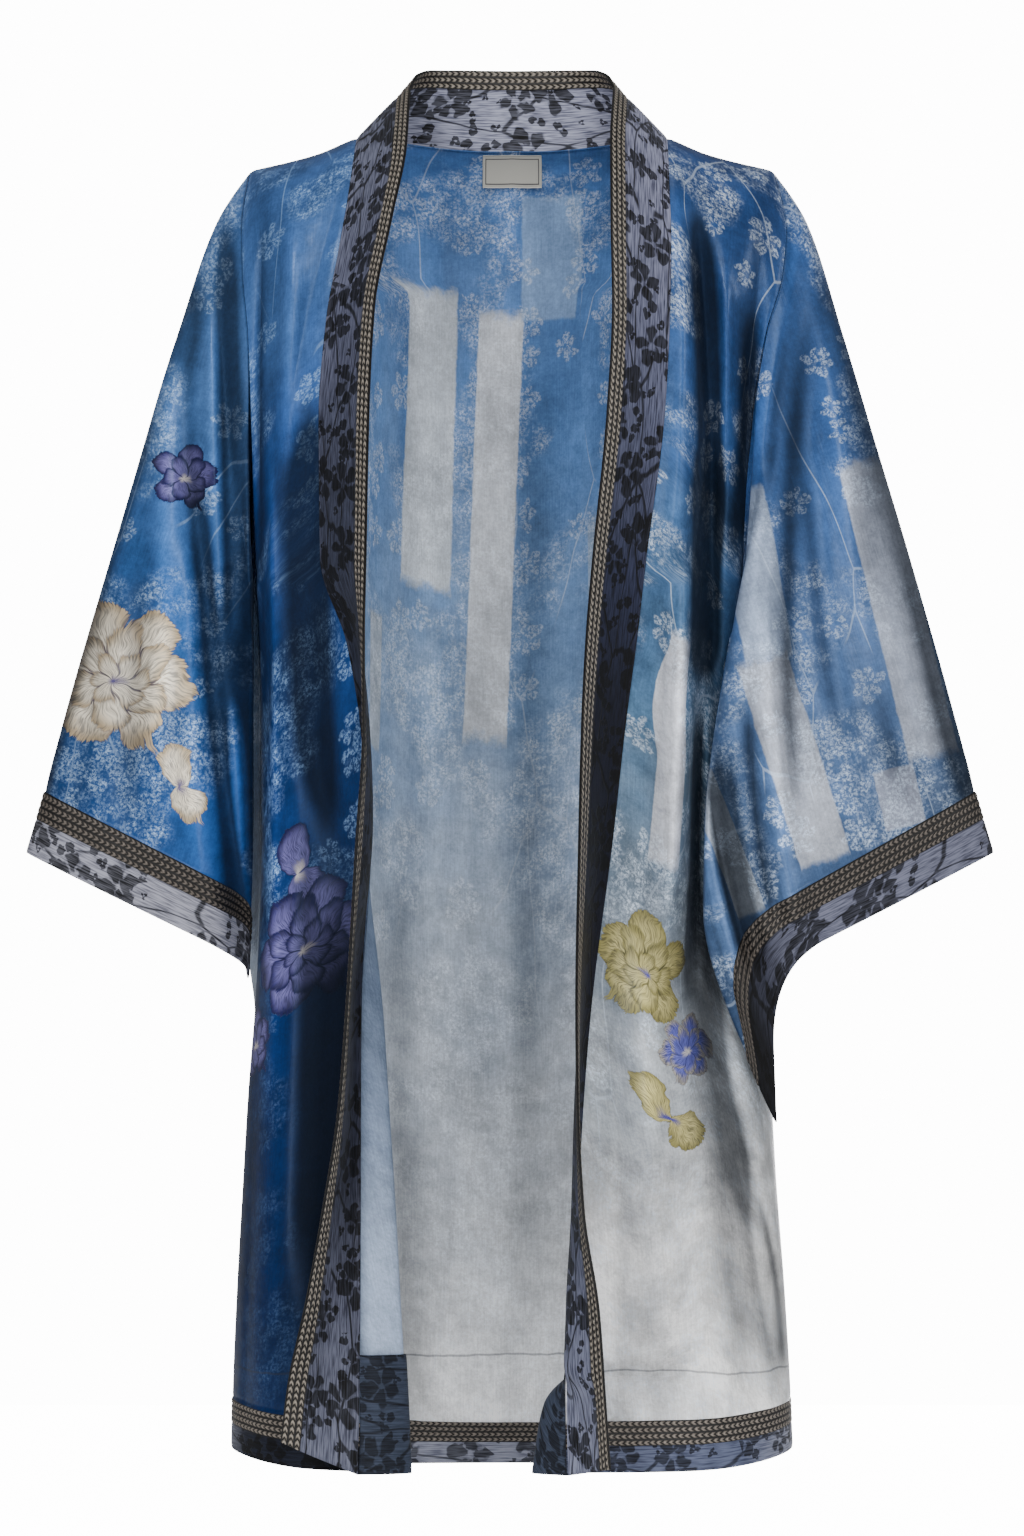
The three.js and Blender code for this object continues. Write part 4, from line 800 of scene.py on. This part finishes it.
floorMesh = bpy.data.meshes.new("floor")
reach, level = studio["floorReach"], studio["floorLevel"]
floorMesh.from_pydata([(-reach, -reach, level), (reach, -reach, level), (reach, reach, level),
                       (-reach, reach, level)], [], [(0, 1, 2, 3)])
floor = bpy.data.objects.new("floor", floorMesh)
bpy.context.scene.collection.objects.link(floor)
paper, paperTree, paperSurface = newMaterial("white paper floor")
onCamera = addNode(paperTree, "LightPath", {}, "Is Camera Ray")
glow = addNode(paperTree, "MapRange", {0: onCamera, 3: studio["floorGlow"], 4: studio["backdrop"]})
paperTree.links.new(addNode(paperTree, "BsdfPrincipled", {
    "Base Color": linear("#f4f4f4"), "Roughness": 0.9, "Emission Color": linear("#ffffff"),
    "Emission Strength": glow}), paperSurface)
floorMesh.materials.append(paper)
print("camera, light and floor made")

# body panels; grids are rows by columns of points
grids = {"flank": 22, "middle": 62, "turn": 26, "panelRows": 230, "backColumns": 150,
         "sleeve": (120, 180), "cuffBraid": (17, 300), "cuffBand": (12, 200), "neckband": (14, 220, 60),
         "neckBraid": (13, 420, 120), "hemBraid": (17, 180, 300), "hemBand": (8, 110, 200),
         "facing": (30, 36), "label": (26, 40)}


def hemDown(up):  # a height above the hem as a place down the panels
    return float(downAt(garment["frontDrop"] - up))


panelEnd, bandStart = hemDown(garment["hemBraidTop"]), hemDown(garment["hemBandTop"])
bandShare = 1 - garment["neckBraidWidth"] / garment["bandWidth"]
hemLineHeight = -0.872


def downStations(end, count):  # closer together round the cap, where the cloth turns
    cap = np.linspace(0, 1, max(6, int(count * 0.16)), endpoint=False)
    return np.concatenate([cap, np.linspace(1, end, count - len(cap))])


def seamSink(shape, edges, deep=0.7, reach=3):  # a narrow dip beside each sewn edge
    rows, cols = shape
    j, i = np.mgrid[0:rows, 0:cols]
    gaps = {"top": j, "bottom": rows - 1 - j, "left": i, "right": cols - 1 - i}
    return -deep * sum(np.exp(-(gaps[e] / reach) ** 2) for e in edges)


def panelRelief(points, seed, size, seams):  # uneven cloth, calm at the shoulder, dipping beside its seams
    shape = points.shape[:2]
    return wavy(shape, seed, 7, size) * smooth(0, 12, np.arange(shape[0]))[:, None] + seamSink(shape, seams)


# satin settings, with the strength of the painted highlight on fold ridges and the painted shade in fold
# troughs
satinFinishAndShade = {"rough": 0.35, "gloss": 0.5, "sheen": "#a9bfe4", "ridgeHighlight": 1.75, "hollow": 0.15, "play": 0.26,
               "printStrength": 0.66, "stitch": "#20242c", "fade": (0.5, 0.9, 0.8), "mottle": 0.78}
frontLook = {
    "right": satinFinishAndShade | {
        "seed": 2, "print": "#86a9d6", "fade": (0.5, 0.62, 0.12),
        "inside": [(0.0, "#34568a"), (1.0, "#9dacc4"), (0.5, "#3f5474"), (0.62, "#70809a"), (0.8, "#8c9bb3")],
        "ground": [(0.0, "#294674"), (1.0, "#02193f"), (0.12, "#3a5d92"), (0.26, "#1f4380"),
                   (0.5, "#0b2957"), (0.7, "#041d45")]},
    "left": satinFinishAndShade | {
        "seed": 7, "print": "#c9d6e6", "play": 0.18, "mottle": 0.66,
        "ground": [(0.0, "#1c3766"), (1.0, "#f4f4f3"), (0.2, "#2d4e80"), (0.45, "#45637f"),
                   (0.6, "#6d7a87"), (0.72, "#b6babe"), (0.84, "#e8e8e8")]},
}
backLook = satinFinishAndShade | {
    "seed": 11, "print": "#dfe7f1", "printStrength": 0.5, "rough": 0.48, "play": 0.10, "sheen": "#c3d2ea",
    "ridgeHighlight": 1.2, "hollow": 0.5,
    "ground": [(0.0, "#416aa6"), (1.0, "#f6f6f6"), (0.2, "#547cb4"), (0.4, "#7693b9"), (0.6, "#a4b0c0"),
               (0.8, "#d2d6db")]}


def placeMotifs(points, uv, info):  # strips and blooms, given by x and z in millimetres, found on the cloth
    strips = [(nearestUv(points, uv, x, z), (w * mm, l * mm), turn, colour, strength)
              for x, z, w, l, turn, colour, strength in info.get("strips", [])]
    blooms = [dict(flower, at=nearestUv(points, uv, *flower["at"]), radius=flower["radius"] * mm)
              for flower in info.get("blooms", [])]
    return {"strips": strips, "blooms": blooms}


def creaseOf(folds, across, points, deepest=13):  # for painted fold shade: 1 in a trough, -1 on a ridge; a shallow fold shows less
    return np.clip(foldDepth(folds, across, -points[..., 2]) / deepest, -1, 1)


def makeFront(name, node, front, look, info):  # across 0..4, side seam to neckband seam
    across = np.concatenate([np.linspace(0, 1, grids["flank"], endpoint=False),
                             np.linspace(1, 3, grids["middle"], endpoint=False),
                             np.linspace(3, 4, grids["turn"])])
    points = frontPoint(front, across[None], downStations(panelEnd, grids["panelRows"])[:, None])
    relief = panelRelief(points, look["seed"], 0.5, ["left", "right"])
    uv = arcLengths(points, False)
    found = placeMotifs(points, uv, info) | {"hemLine": hemLineHeight}
    # painted shade in the fold troughs and painted highlight on the ridges
    piece, _ = clothShell(name, points, garment["panelWall"], front["side"], relief=relief, uv=uv,
                          creaseShade=creaseOf(front["folds"], np.abs(points[..., 0]), points))
    dress(piece, node, satin("satin, " + name, found, look))


creamThreads = {"heart": "#51477c", "middle": "#d8cfbd", "tip": "#a08f74", "veinAndShadow": "#2e2748"}
violetThreads = {"heart": "#cfc8c4", "middle": "#5a5788", "tip": "#18173c", "veinAndShadow": "#0d0c24"}
ochreThreads = {"heart": "#3f3d98", "middle": "#a9a069", "tip": "#7d7645", "veinAndShadow": "#45411f"}
blueThreads = {"heart": "#e6e0d6", "middle": "#5a5cab", "tip": "#8f8a80", "veinAndShadow": "#2a2a66"}
leafShape = {"petals": 2, "lift": 0.9, "rings": 1}

makeFront("frontRightCloth", "front_right", frontRight, frontLook["right"], {
    "blooms": [
        violetThreads | {"at": (-150, -520), "radius": 34, "turn": 1.9} | leafShape,
        violetThreads | {"at": (-146, -575), "radius": 47, "turn": 0.3, "petals": 6},
        violetThreads | {"at": (-182, -648), "radius": 26, "turn": 1.1, "petals": 5, "rings": 2}]})
makeFront("frontLeftCloth", "front_left", frontLeft, frontLook["left"], {
    "strips": [(116, -440, 27, 162, 4, "#b2b4bb", 0.92)],
    "blooms": [
        ochreThreads | {"at": (110, -694), "radius": 36, "turn": 0.9} | leafShape,
        ochreThreads | {"at": (94, -592), "radius": 40, "turn": 0.8, "petals": 5},
        blueThreads | {"at": (124, -648), "radius": 27, "turn": 0.2, "petals": 6, "rings": 2}]})
print("fronts made")

backInfo = {
    "strips": [
        (-66, -213, 50, 216, -1.5, "#ccd2d6", 0.86), (-13, -268, 33, 310, -2.4, "#d3d6da", 0.9),
        (30, -74, 44, 92, 0, "#8ba8cf", 0.7), (66, -372, 24, 210, 0, "#9aa8b8", 0.6),
        (-101, -384, 26, 100, 0, "#aeb4b8", 0.65), (-128, -250, 24, 200, 0, "#b5bfcb", 0.6),
        (128, -210, 26, 230, 0, "#aebccd", 0.6)],
    "blooms": [
        creamThreads | {"at": (-140, -520), "radius": 44, "turn": 0.5, "petals": 6},
        violetThreads | {"at": (118, -430), "radius": 40, "turn": 0.1, "petals": 5}],
    # both front edges throw a shade on the back: x, width and strength
    "edgeShade": [(-84, 26, 0.62), (62, 20, 0.4)]}


def makeBack(look, info):  # across -1..1, side seam to side seam
    across = np.linspace(-1, 1, grids["backColumns"])
    down = downStations(panelEnd, grids["panelRows"])
    points = backPoint(np.broadcast_to(across[None], (len(down), len(across))), down[:, None])
    relief = panelRelief(points, 5, 0.6, ["left", "right", "top"])
    uv = arcLengths(points, False)
    uv[..., 0] -= uv[:, uv.shape[1] // 2, 0][:, None]  # the grain runs down the centre back
    found = placeMotifs(points * (1, -1, 1), uv, info) | {"hemLine": hemLineHeight}
    # painted shadow of both front edges low on the back, with painted fold shade and highlight
    low = smooth(350, 620, -points[..., 2])
    shade = sum(deep * np.exp(-((points[..., 0] - x) / wide) ** 2) for x, wide, deep in info["edgeShade"])
    # a trough on the outer face is a ridge on the inner one, which is the one that shows
    creaseShade = np.clip(low * shade - creaseOf(backFolds, points[..., 0], points), -1, 1)
    piece, _ = clothShell("backCloth", points, garment["panelWall"], 1, relief=relief, uv=uv, creaseShade=creaseShade)
    dress(piece, "back", satin("satin, back", found, look))


makeBack(backLook, backInfo)
print("back made")

# sleeves and cuffs
sleeveLook = {
    "right": satinFinishAndShade | {
        "seed": 21, "print": "#a6c4ea", "printStrength": 0.7, "hollow": 0.24, "foldShade": 6,
        "ground": [(0.0, "#34578c"), (1.0, "#183a6e"), (0.14, "#42699f"), (0.3, "#2c5690"),
                   (0.46, "#1f467e")]},
    "left": satinFinishAndShade | {
        "seed": 27, "print": "#c0d1e8", "printStrength": 0.6, "foldShade": 14,
        "ground": [(0.0, "#1f4072"), (1.0, "#26354a"), (0.18, "#33558a"), (0.36, "#506c98"),
                   (0.48, "#3a4f70")]},
}
outerFoldShade = 0.75


def sleeveGrid(sleeve, low, high, rows, cols):  # each ring starts and ends at the fold nearest the body
    around = np.arange(cols) / cols + 0.5
    return sleevePoint(sleeve, np.linspace(low, high, rows)[:, None], around[None])


def sleeveUv(sleeve, points):  # the grain runs along the outer fold: distances along it and square to it
    closed = np.concatenate([points, points[:, :1]], 1)
    first, last = [np.array([sleeve["rows"]["outX"][k], sleeve["rows"]["outZ"][k]]) for k in (0, -1)]
    grain = (last - first) / np.linalg.norm(last - first)
    flat = np.stack([np.abs(closed[..., 0]), closed[..., 2]], -1) - first
    layer = np.where(np.arange(closed.shape[1]) < points.shape[1] / 2, -1, 1)
    inwards = flat @ np.array([grain[1], -grain[0]])
    return np.stack([inwards * layer, flat @ grain], -1) * mm


def makeSleeve(name, node, sleeve, look, info):  # rings from the armhole to the cuff braid
    rows, cols = grids["sleeve"]
    points = sleeveGrid(sleeve, 0.0, garment["braidWay"] + 0.001, rows, cols)
    relief = wavy((rows, cols), look["seed"], 6, 0.35)
    closing = 20  # the last columns run back to the first, so the waves close round the ring
    blend = smooth(0, 1, np.linspace(0, 1, closing))[None]
    relief[:, -closing:] += (relief[:, :1] - relief[:, -closing:]) * blend
    relief = relief + seamSink((rows, cols), ["top", "bottom"])
    uv = sleeveUv(sleeve, points)
    found = placeMotifs(points[:, cols // 2:], uv[:, cols // 2:-1], info)
    outer = read(sleeve["rows"], "way", np.linspace(0, garment["braidWay"], rows), "outX")[:, None]
    fromFold = outer - np.abs(points[..., 0])
    away = smooth(0.02, 0.3, np.linspace(0, 1, rows))[:, None]
    # painted shade and highlight from the folds, and painted shade along the sleeve's outer fold
    creaseShade = creaseOf(sleeve["folds"], np.abs(points[..., 0]), points)
    creaseShade = creaseShade + outerFoldShade * away * np.exp(-(fromFold / look["foldShade"]) ** 2)
    piece, _ = clothShell(name, points, garment["panelWall"], sleeve["side"], ring=True, relief=relief, uv=uv,
                          creaseShade=np.clip(creaseShade, -1, 1))
    dress(piece, node, satin("satin, " + name, found, look))


makeSleeve("sleeveRightCloth", "sleeve_right", sleeveRight, sleeveLook["right"], {
    "blooms": [
        creamThreads | {"at": (-236, -462), "radius": 30, "turn": 2.2} | leafShape,
        creamThreads | {"at": (-280, -385), "radius": 56, "turn": 0.4, "petals": 6},
        violetThreads | {"at": (-232, -240), "radius": 24, "turn": 0.9, "petals": 5, "rings": 2}]})
makeSleeve("sleeveLeftCloth", "sleeve_left", sleeveLeft, sleeveLook["left"], {
    "strips": [(172, -312, 34, 122, 8, "#9aa7bb", 0.75), (201, -444, 37, 148, 0, "#a0a4ad", 0.85),
               (276, -336, 37, 214, 4, "#a6abb6", 0.8), (275, -470, 30, 42, 4, "#9194a0", 0.75),
               (151, -504, 20, 105, -3, "#8d9296", 0.75)]})
print("sleeves made")

# shade stops run along each band; the first two are its ends
evenLight = [(0.0, "#ffffff"), (1.0, "#ffffff")]
bandLook = {
    "groundDark": "#4d4f61", "groundLight": "#a0a3b8", "sprig": "#030305", "strength": 1.0, "seed": 4,
    "shade": [(0.0, "#a6a8ad"), (1.0, "#d2d5dc"), (0.045, "#8c8e95"), (0.09, "#52555f"), (0.16, "#3c414d"),
              (0.25, "#4a505c"), (0.30, "#666a76"), (0.36, "#8f919c"), (0.44, "#aeb0b6"), (0.5, "#ffffff"),
              (0.58, "#d0d0d8"), (0.66, "#9396a4"), (0.72, "#484d63"), (0.76, "#1e2233"), (0.87, "#1a1e2d"),
              (0.91, "#666c7c"), (0.95, "#b5b8c1")]}
cuffLook = {
    "groundDark": "#5c5d69", "groundLight": "#9c9dab", "sprig": "#08090d", "strength": 0.96, "seed": 8}
cuffShade = {
    "Right": evenLight,
    "Left": [(0.0, "#2a2c34"), (1.0, "#1a1b20"), (0.12, "#8a8c98"), (0.5, "#b4b7c4"), (0.76, "#b4b7c4"),
             (0.83, "#595c69"), (0.90, "#1f2127")]}
hemLook = {
    "groundDark": "#585b6b", "groundLight": "#8b8e9e", "sprig": "#0c0d13", "strength": 0.92, "seed": 14,
    "shade": [(0.0, "#3c4252"), (1.0, "#bcc4d6"), (0.17, "#363c4a"), (0.21, "#ffffff"), (0.77, "#ffffff"),
              (0.82, "#a8b1c6")]}
facingLook = {
    "groundDark": "#232936", "groundLight": "#363e4f", "sprig": "#070910", "strength": 0.9, "seed": 19,
    "shade": evenLight}
neckBraidLook = {"rows": 3, "pitch": 0.0048, "gap": "#060505", "thread": "#aaa093"}
hemBraidLook = {"rows": 4, "pitch": 0.0045, "gap": "#070606", "thread": "#988e84"}
cuffBraidLook = hemBraidLook | {"thread": "#766d65"}
braidShellWall = garment["braidWall"] - 0.4  # its raised rows make up the rest

facingCloth = figured("jacquard facing", facingLook)
neckBraidCloth = chainBraid("chain braid, three rows", neckBraidLook)
hemBraidCloth = chainBraid("chain braid, four rows, hem", hemBraidLook)
cuffBraidCloth = chainBraid("chain braid, four rows, cuffs", cuffBraidLook)


def braidUv(points, ring):  # metres along, 0..1 across the rows
    uv = arcLengths(points, ring)
    share = np.linspace(0, 1, points.shape[0])
    uv[..., 1] = share[:, None]
    return uv


def rowRelief(shape, rows, high=0.45):  # each row of braid stands up as a rounded rib
    share = np.linspace(0, 1, shape[0])
    ribs = high * (np.abs(np.sin(share * rows * math.pi)) ** 0.7 - 0.5)
    return np.broadcast_to(ribs[:, None], shape)


def makeCuff(side, sleeve):  # the last rings of the sleeve: rows of braid, then the band
    shape = grids["cuffBraid"]
    points = sleeveGrid(sleeve, garment["braidWay"], garment["cuffWay"] + 0.001, *shape)
    braid, _ = clothShell("cuffBraid" + side, points, braidShellWall, sleeve["side"], ring=True,
                          relief=rowRelief(shape, cuffBraidLook["rows"]), uv=braidUv(points, True))
    dress(braid, "cuff_braid_" + side.lower(), cuffBraidCloth)
    points = sleeveGrid(sleeve, garment["cuffWay"], 1.0, *grids["cuffBand"])
    band, uv = clothShell("cuffBand" + side, points, garment["bandWall"], sleeve["side"], ring=True)
    look = cuffLook | {"shade": cuffShade[side]}
    dress(band, "cuff_band_" + side.lower(),
          figured("jacquard, cuff " + side.lower(), look, float(uv[0, -1, 0])))


makeCuff("Right", sleeveRight)
makeCuff("Left", sleeveLeft)
print("cuffs made")


# neckband with its braid
def bandGrid(low, high, parts, perFront, perNeck):  # up one front edge, round the neck, down the other
    share = np.linspace(low, high, parts)[:, None]
    down = downStations(2.0, perFront)[1:]
    right = frontPoint(frontRight, 4 + np.maximum(share, 0), down[::-1][None])
    leftSide = frontPoint(frontLeft, 4 + np.maximum(share, 0), down[None])
    neckShare = garment["neckHalfWidth"] / float(backSurface(1.0, 0.0)[0])
    edge = math.asin(neckShare ** (garment["backSquareness"] / 2)) * 2 / math.pi
    neck = np.broadcast_to(np.linspace(-edge, edge, perNeck)[None], (parts, perNeck))
    collar = collarPoint(neck, np.broadcast_to(share, neck.shape))
    return np.concatenate([right, collar, leftSide], 1)


def bandUv(points):  # metres along the band's middle, the same for its whole width, and metres across
    uv = arcLengths(points, False)
    uv[..., 0] = uv[len(uv) // 2, :, 0][None]
    return uv


# each band reaches a little under its braid, and each hem braid a little under its panel
bandPoints = bandGrid(-0.004, bandShare + 0.01, *grids["neckband"])
neckbandUv = bandUv(bandPoints)
neckbandCloth, _ = clothShell("neckbandCloth", bandPoints, garment["bandWall"], -1, uv=neckbandUv)
dress(neckbandCloth, "neckband",
      figured("jacquard band", bandLook, float(neckbandUv[0, -1, 0])))
braidPoints = bandGrid(bandShare, 1.0, *grids["neckBraid"])
neckBraid, _ = clothShell("neckBraid", braidPoints, braidShellWall, -1,
                          relief=rowRelief(braidPoints.shape[:2], neckBraidLook["rows"]),
                          uv=braidUv(braidPoints, False))
dress(neckBraid, "neck_braid", neckBraidCloth)
print("neckband made")


# hem braid and band
def hemGrid(low, high, rows, perFront, perBack):  # from one front edge round the back to the other
    down = np.linspace(low, high, rows)[:, None]
    seam = 3.997  # just short of the neckband
    right = frontPoint(frontRight, np.linspace(seam, 0, perFront)[None], down)
    back = backPoint(np.broadcast_to(np.linspace(-1, 1, perBack)[None, 1:-1], (rows, perBack - 2)), down)
    leftSide = frontPoint(frontLeft, np.linspace(0, seam, perFront)[None], down)
    return np.concatenate([right, back, leftSide], 1)


braidPoints = hemGrid(panelEnd - 0.0006, bandStart + 0.0006, *grids["hemBraid"])
hemBraid, _ = clothShell("hemBraid", braidPoints, braidShellWall, 1,
                         relief=rowRelief(braidPoints.shape[:2], hemBraidLook["rows"]),
                         uv=braidUv(braidPoints, False))
dress(hemBraid, "hem_braid", hemBraidCloth)
hemPoints = hemGrid(bandStart, 2.0, *grids["hemBand"])
hemUv = bandUv(hemPoints)
hemBand, _ = clothShell("hemBand", hemPoints, garment["bandWall"], 1, uv=hemUv)
dress(hemBand, "hem_band", figured("jacquard, hem", hemLook, float(hemUv[0, -1, 0])))
print("hem made")


# facings and label
def makeFacing(name, node, front):  # the front's lower corner, moved inwards past the other walls
    rows, cols = grids["facing"]
    down = np.linspace(hemDown(garment["facingTop"]), 2.0, rows)
    points = frontPoint(front, np.linspace(2.75, 3.99, cols)[None], down[:, None])
    inwards = garment["braidWall"] / 2 + garment["seamGap"] + garment["facingWall"] / 2
    piece, _ = clothShell(name, points, garment["facingWall"], front["side"],
                          relief=np.full((rows, cols), -inwards))
    dress(piece, node, facingCloth)


makeFacing("facingRight", "hem_facing_right", frontRight)
makeFacing("facingLeft", "hem_facing_left", frontLeft)

# the frame runs at these shares of the label's width and height, which are 42 by 23 mm
label = {"reach": 0.051, "top": 0.02, "deep": 0.22, "cloth": "#b8b6ad", "frame": "#4b4a4c",
         "frameSide": 0.44, "frameTop": 0.39, "wide": 42.0, "tall": 23.0}


def labelMaterial():
    # Taffeta woven label: dull warm grey, a thin dark woven frame, no lettering.
    material, tree, surface = newMaterial("taffeta label")
    uv = addNode(tree, "UVMap", uv_map="cloth")
    away = addNode(tree, "VectorMath", {0: uv, 1: (0.5, 0.5, 0)}, operation="SUBTRACT")
    folded = addNode(tree, "VectorMath", {0: away}, operation="ABSOLUTE")
    x = addNode(tree, "SeparateXYZ", {0: folded}, "X")
    fromSide = addNode(tree, "Math", {0: x, 1: label["frameSide"]}, operation="SUBTRACT")
    fromTop = addNode(tree, "Math", {0: x.node.outputs["Y"], 1: label["frameTop"]}, operation="SUBTRACT")
    wide = addNode(tree, "Math", {0: fromSide, 1: label["wide"]}, operation="MULTIPLY")
    tall = addNode(tree, "Math", {0: fromTop, 1: label["tall"]}, operation="MULTIPLY")
    outside = addNode(tree, "Math", {0: wide, 1: tall}, operation="MAXIMUM")
    fromLine = addNode(tree, "Math", {0: outside}, operation="ABSOLUTE")
    line = addNode(tree, "MapRange", {0: fromLine, 1: 0.55, 2: 0.25}, **soft)
    weave = addNode(tree, "TexNoise", {"Vector": uv, "Scale": 90.0, "Detail": 2.0}, **flatNoise)
    tone = addNode(tree, "MapRange", {0: weave, 1: 0.3, 2: 0.7, 3: 0.93, 4: 1.05})
    ground = addNode(tree, "VectorMath", {0: linear(label["cloth"])[:3], 3: tone}, operation="SCALE")
    colour = addNode(tree, "Mix", {0: line, 6: ground, 7: linear(label["frame"])}, 2, **rgba)
    normal = addNode(tree, "Bump", {"Height": weave, "Strength": 0.2, "Distance": 0.0004})
    tree.links.new(addNode(tree, "BsdfPrincipled", {
        "Base Color": colour, "Roughness": 0.75, "Normal": normal}), surface)
    return material


def makeLabel():  # the back's neck edge, moved inwards past the other walls
    rows, cols = grids["label"]
    across = np.broadcast_to(np.linspace(-label["reach"], label["reach"], cols)[None], (rows, cols))
    points = backPoint(across, label["top"] + label["deep"] * np.linspace(0, 1, rows)[:, None])
    inwards = garment["panelWall"] / 2 + 3 * garment["seamGap"] + garment["labelWall"] / 2
    v, u = np.mgrid[0:1:rows * 1j, 0:1:cols * 1j]
    piece, _ = clothShell("neckLabel", points, garment["labelWall"], 1, uv=np.stack([u, v], -1),
                          relief=np.full((rows, cols), -inwards))
    dress(piece, "label", labelMaterial())


makeLabel()
print("facings and label made")
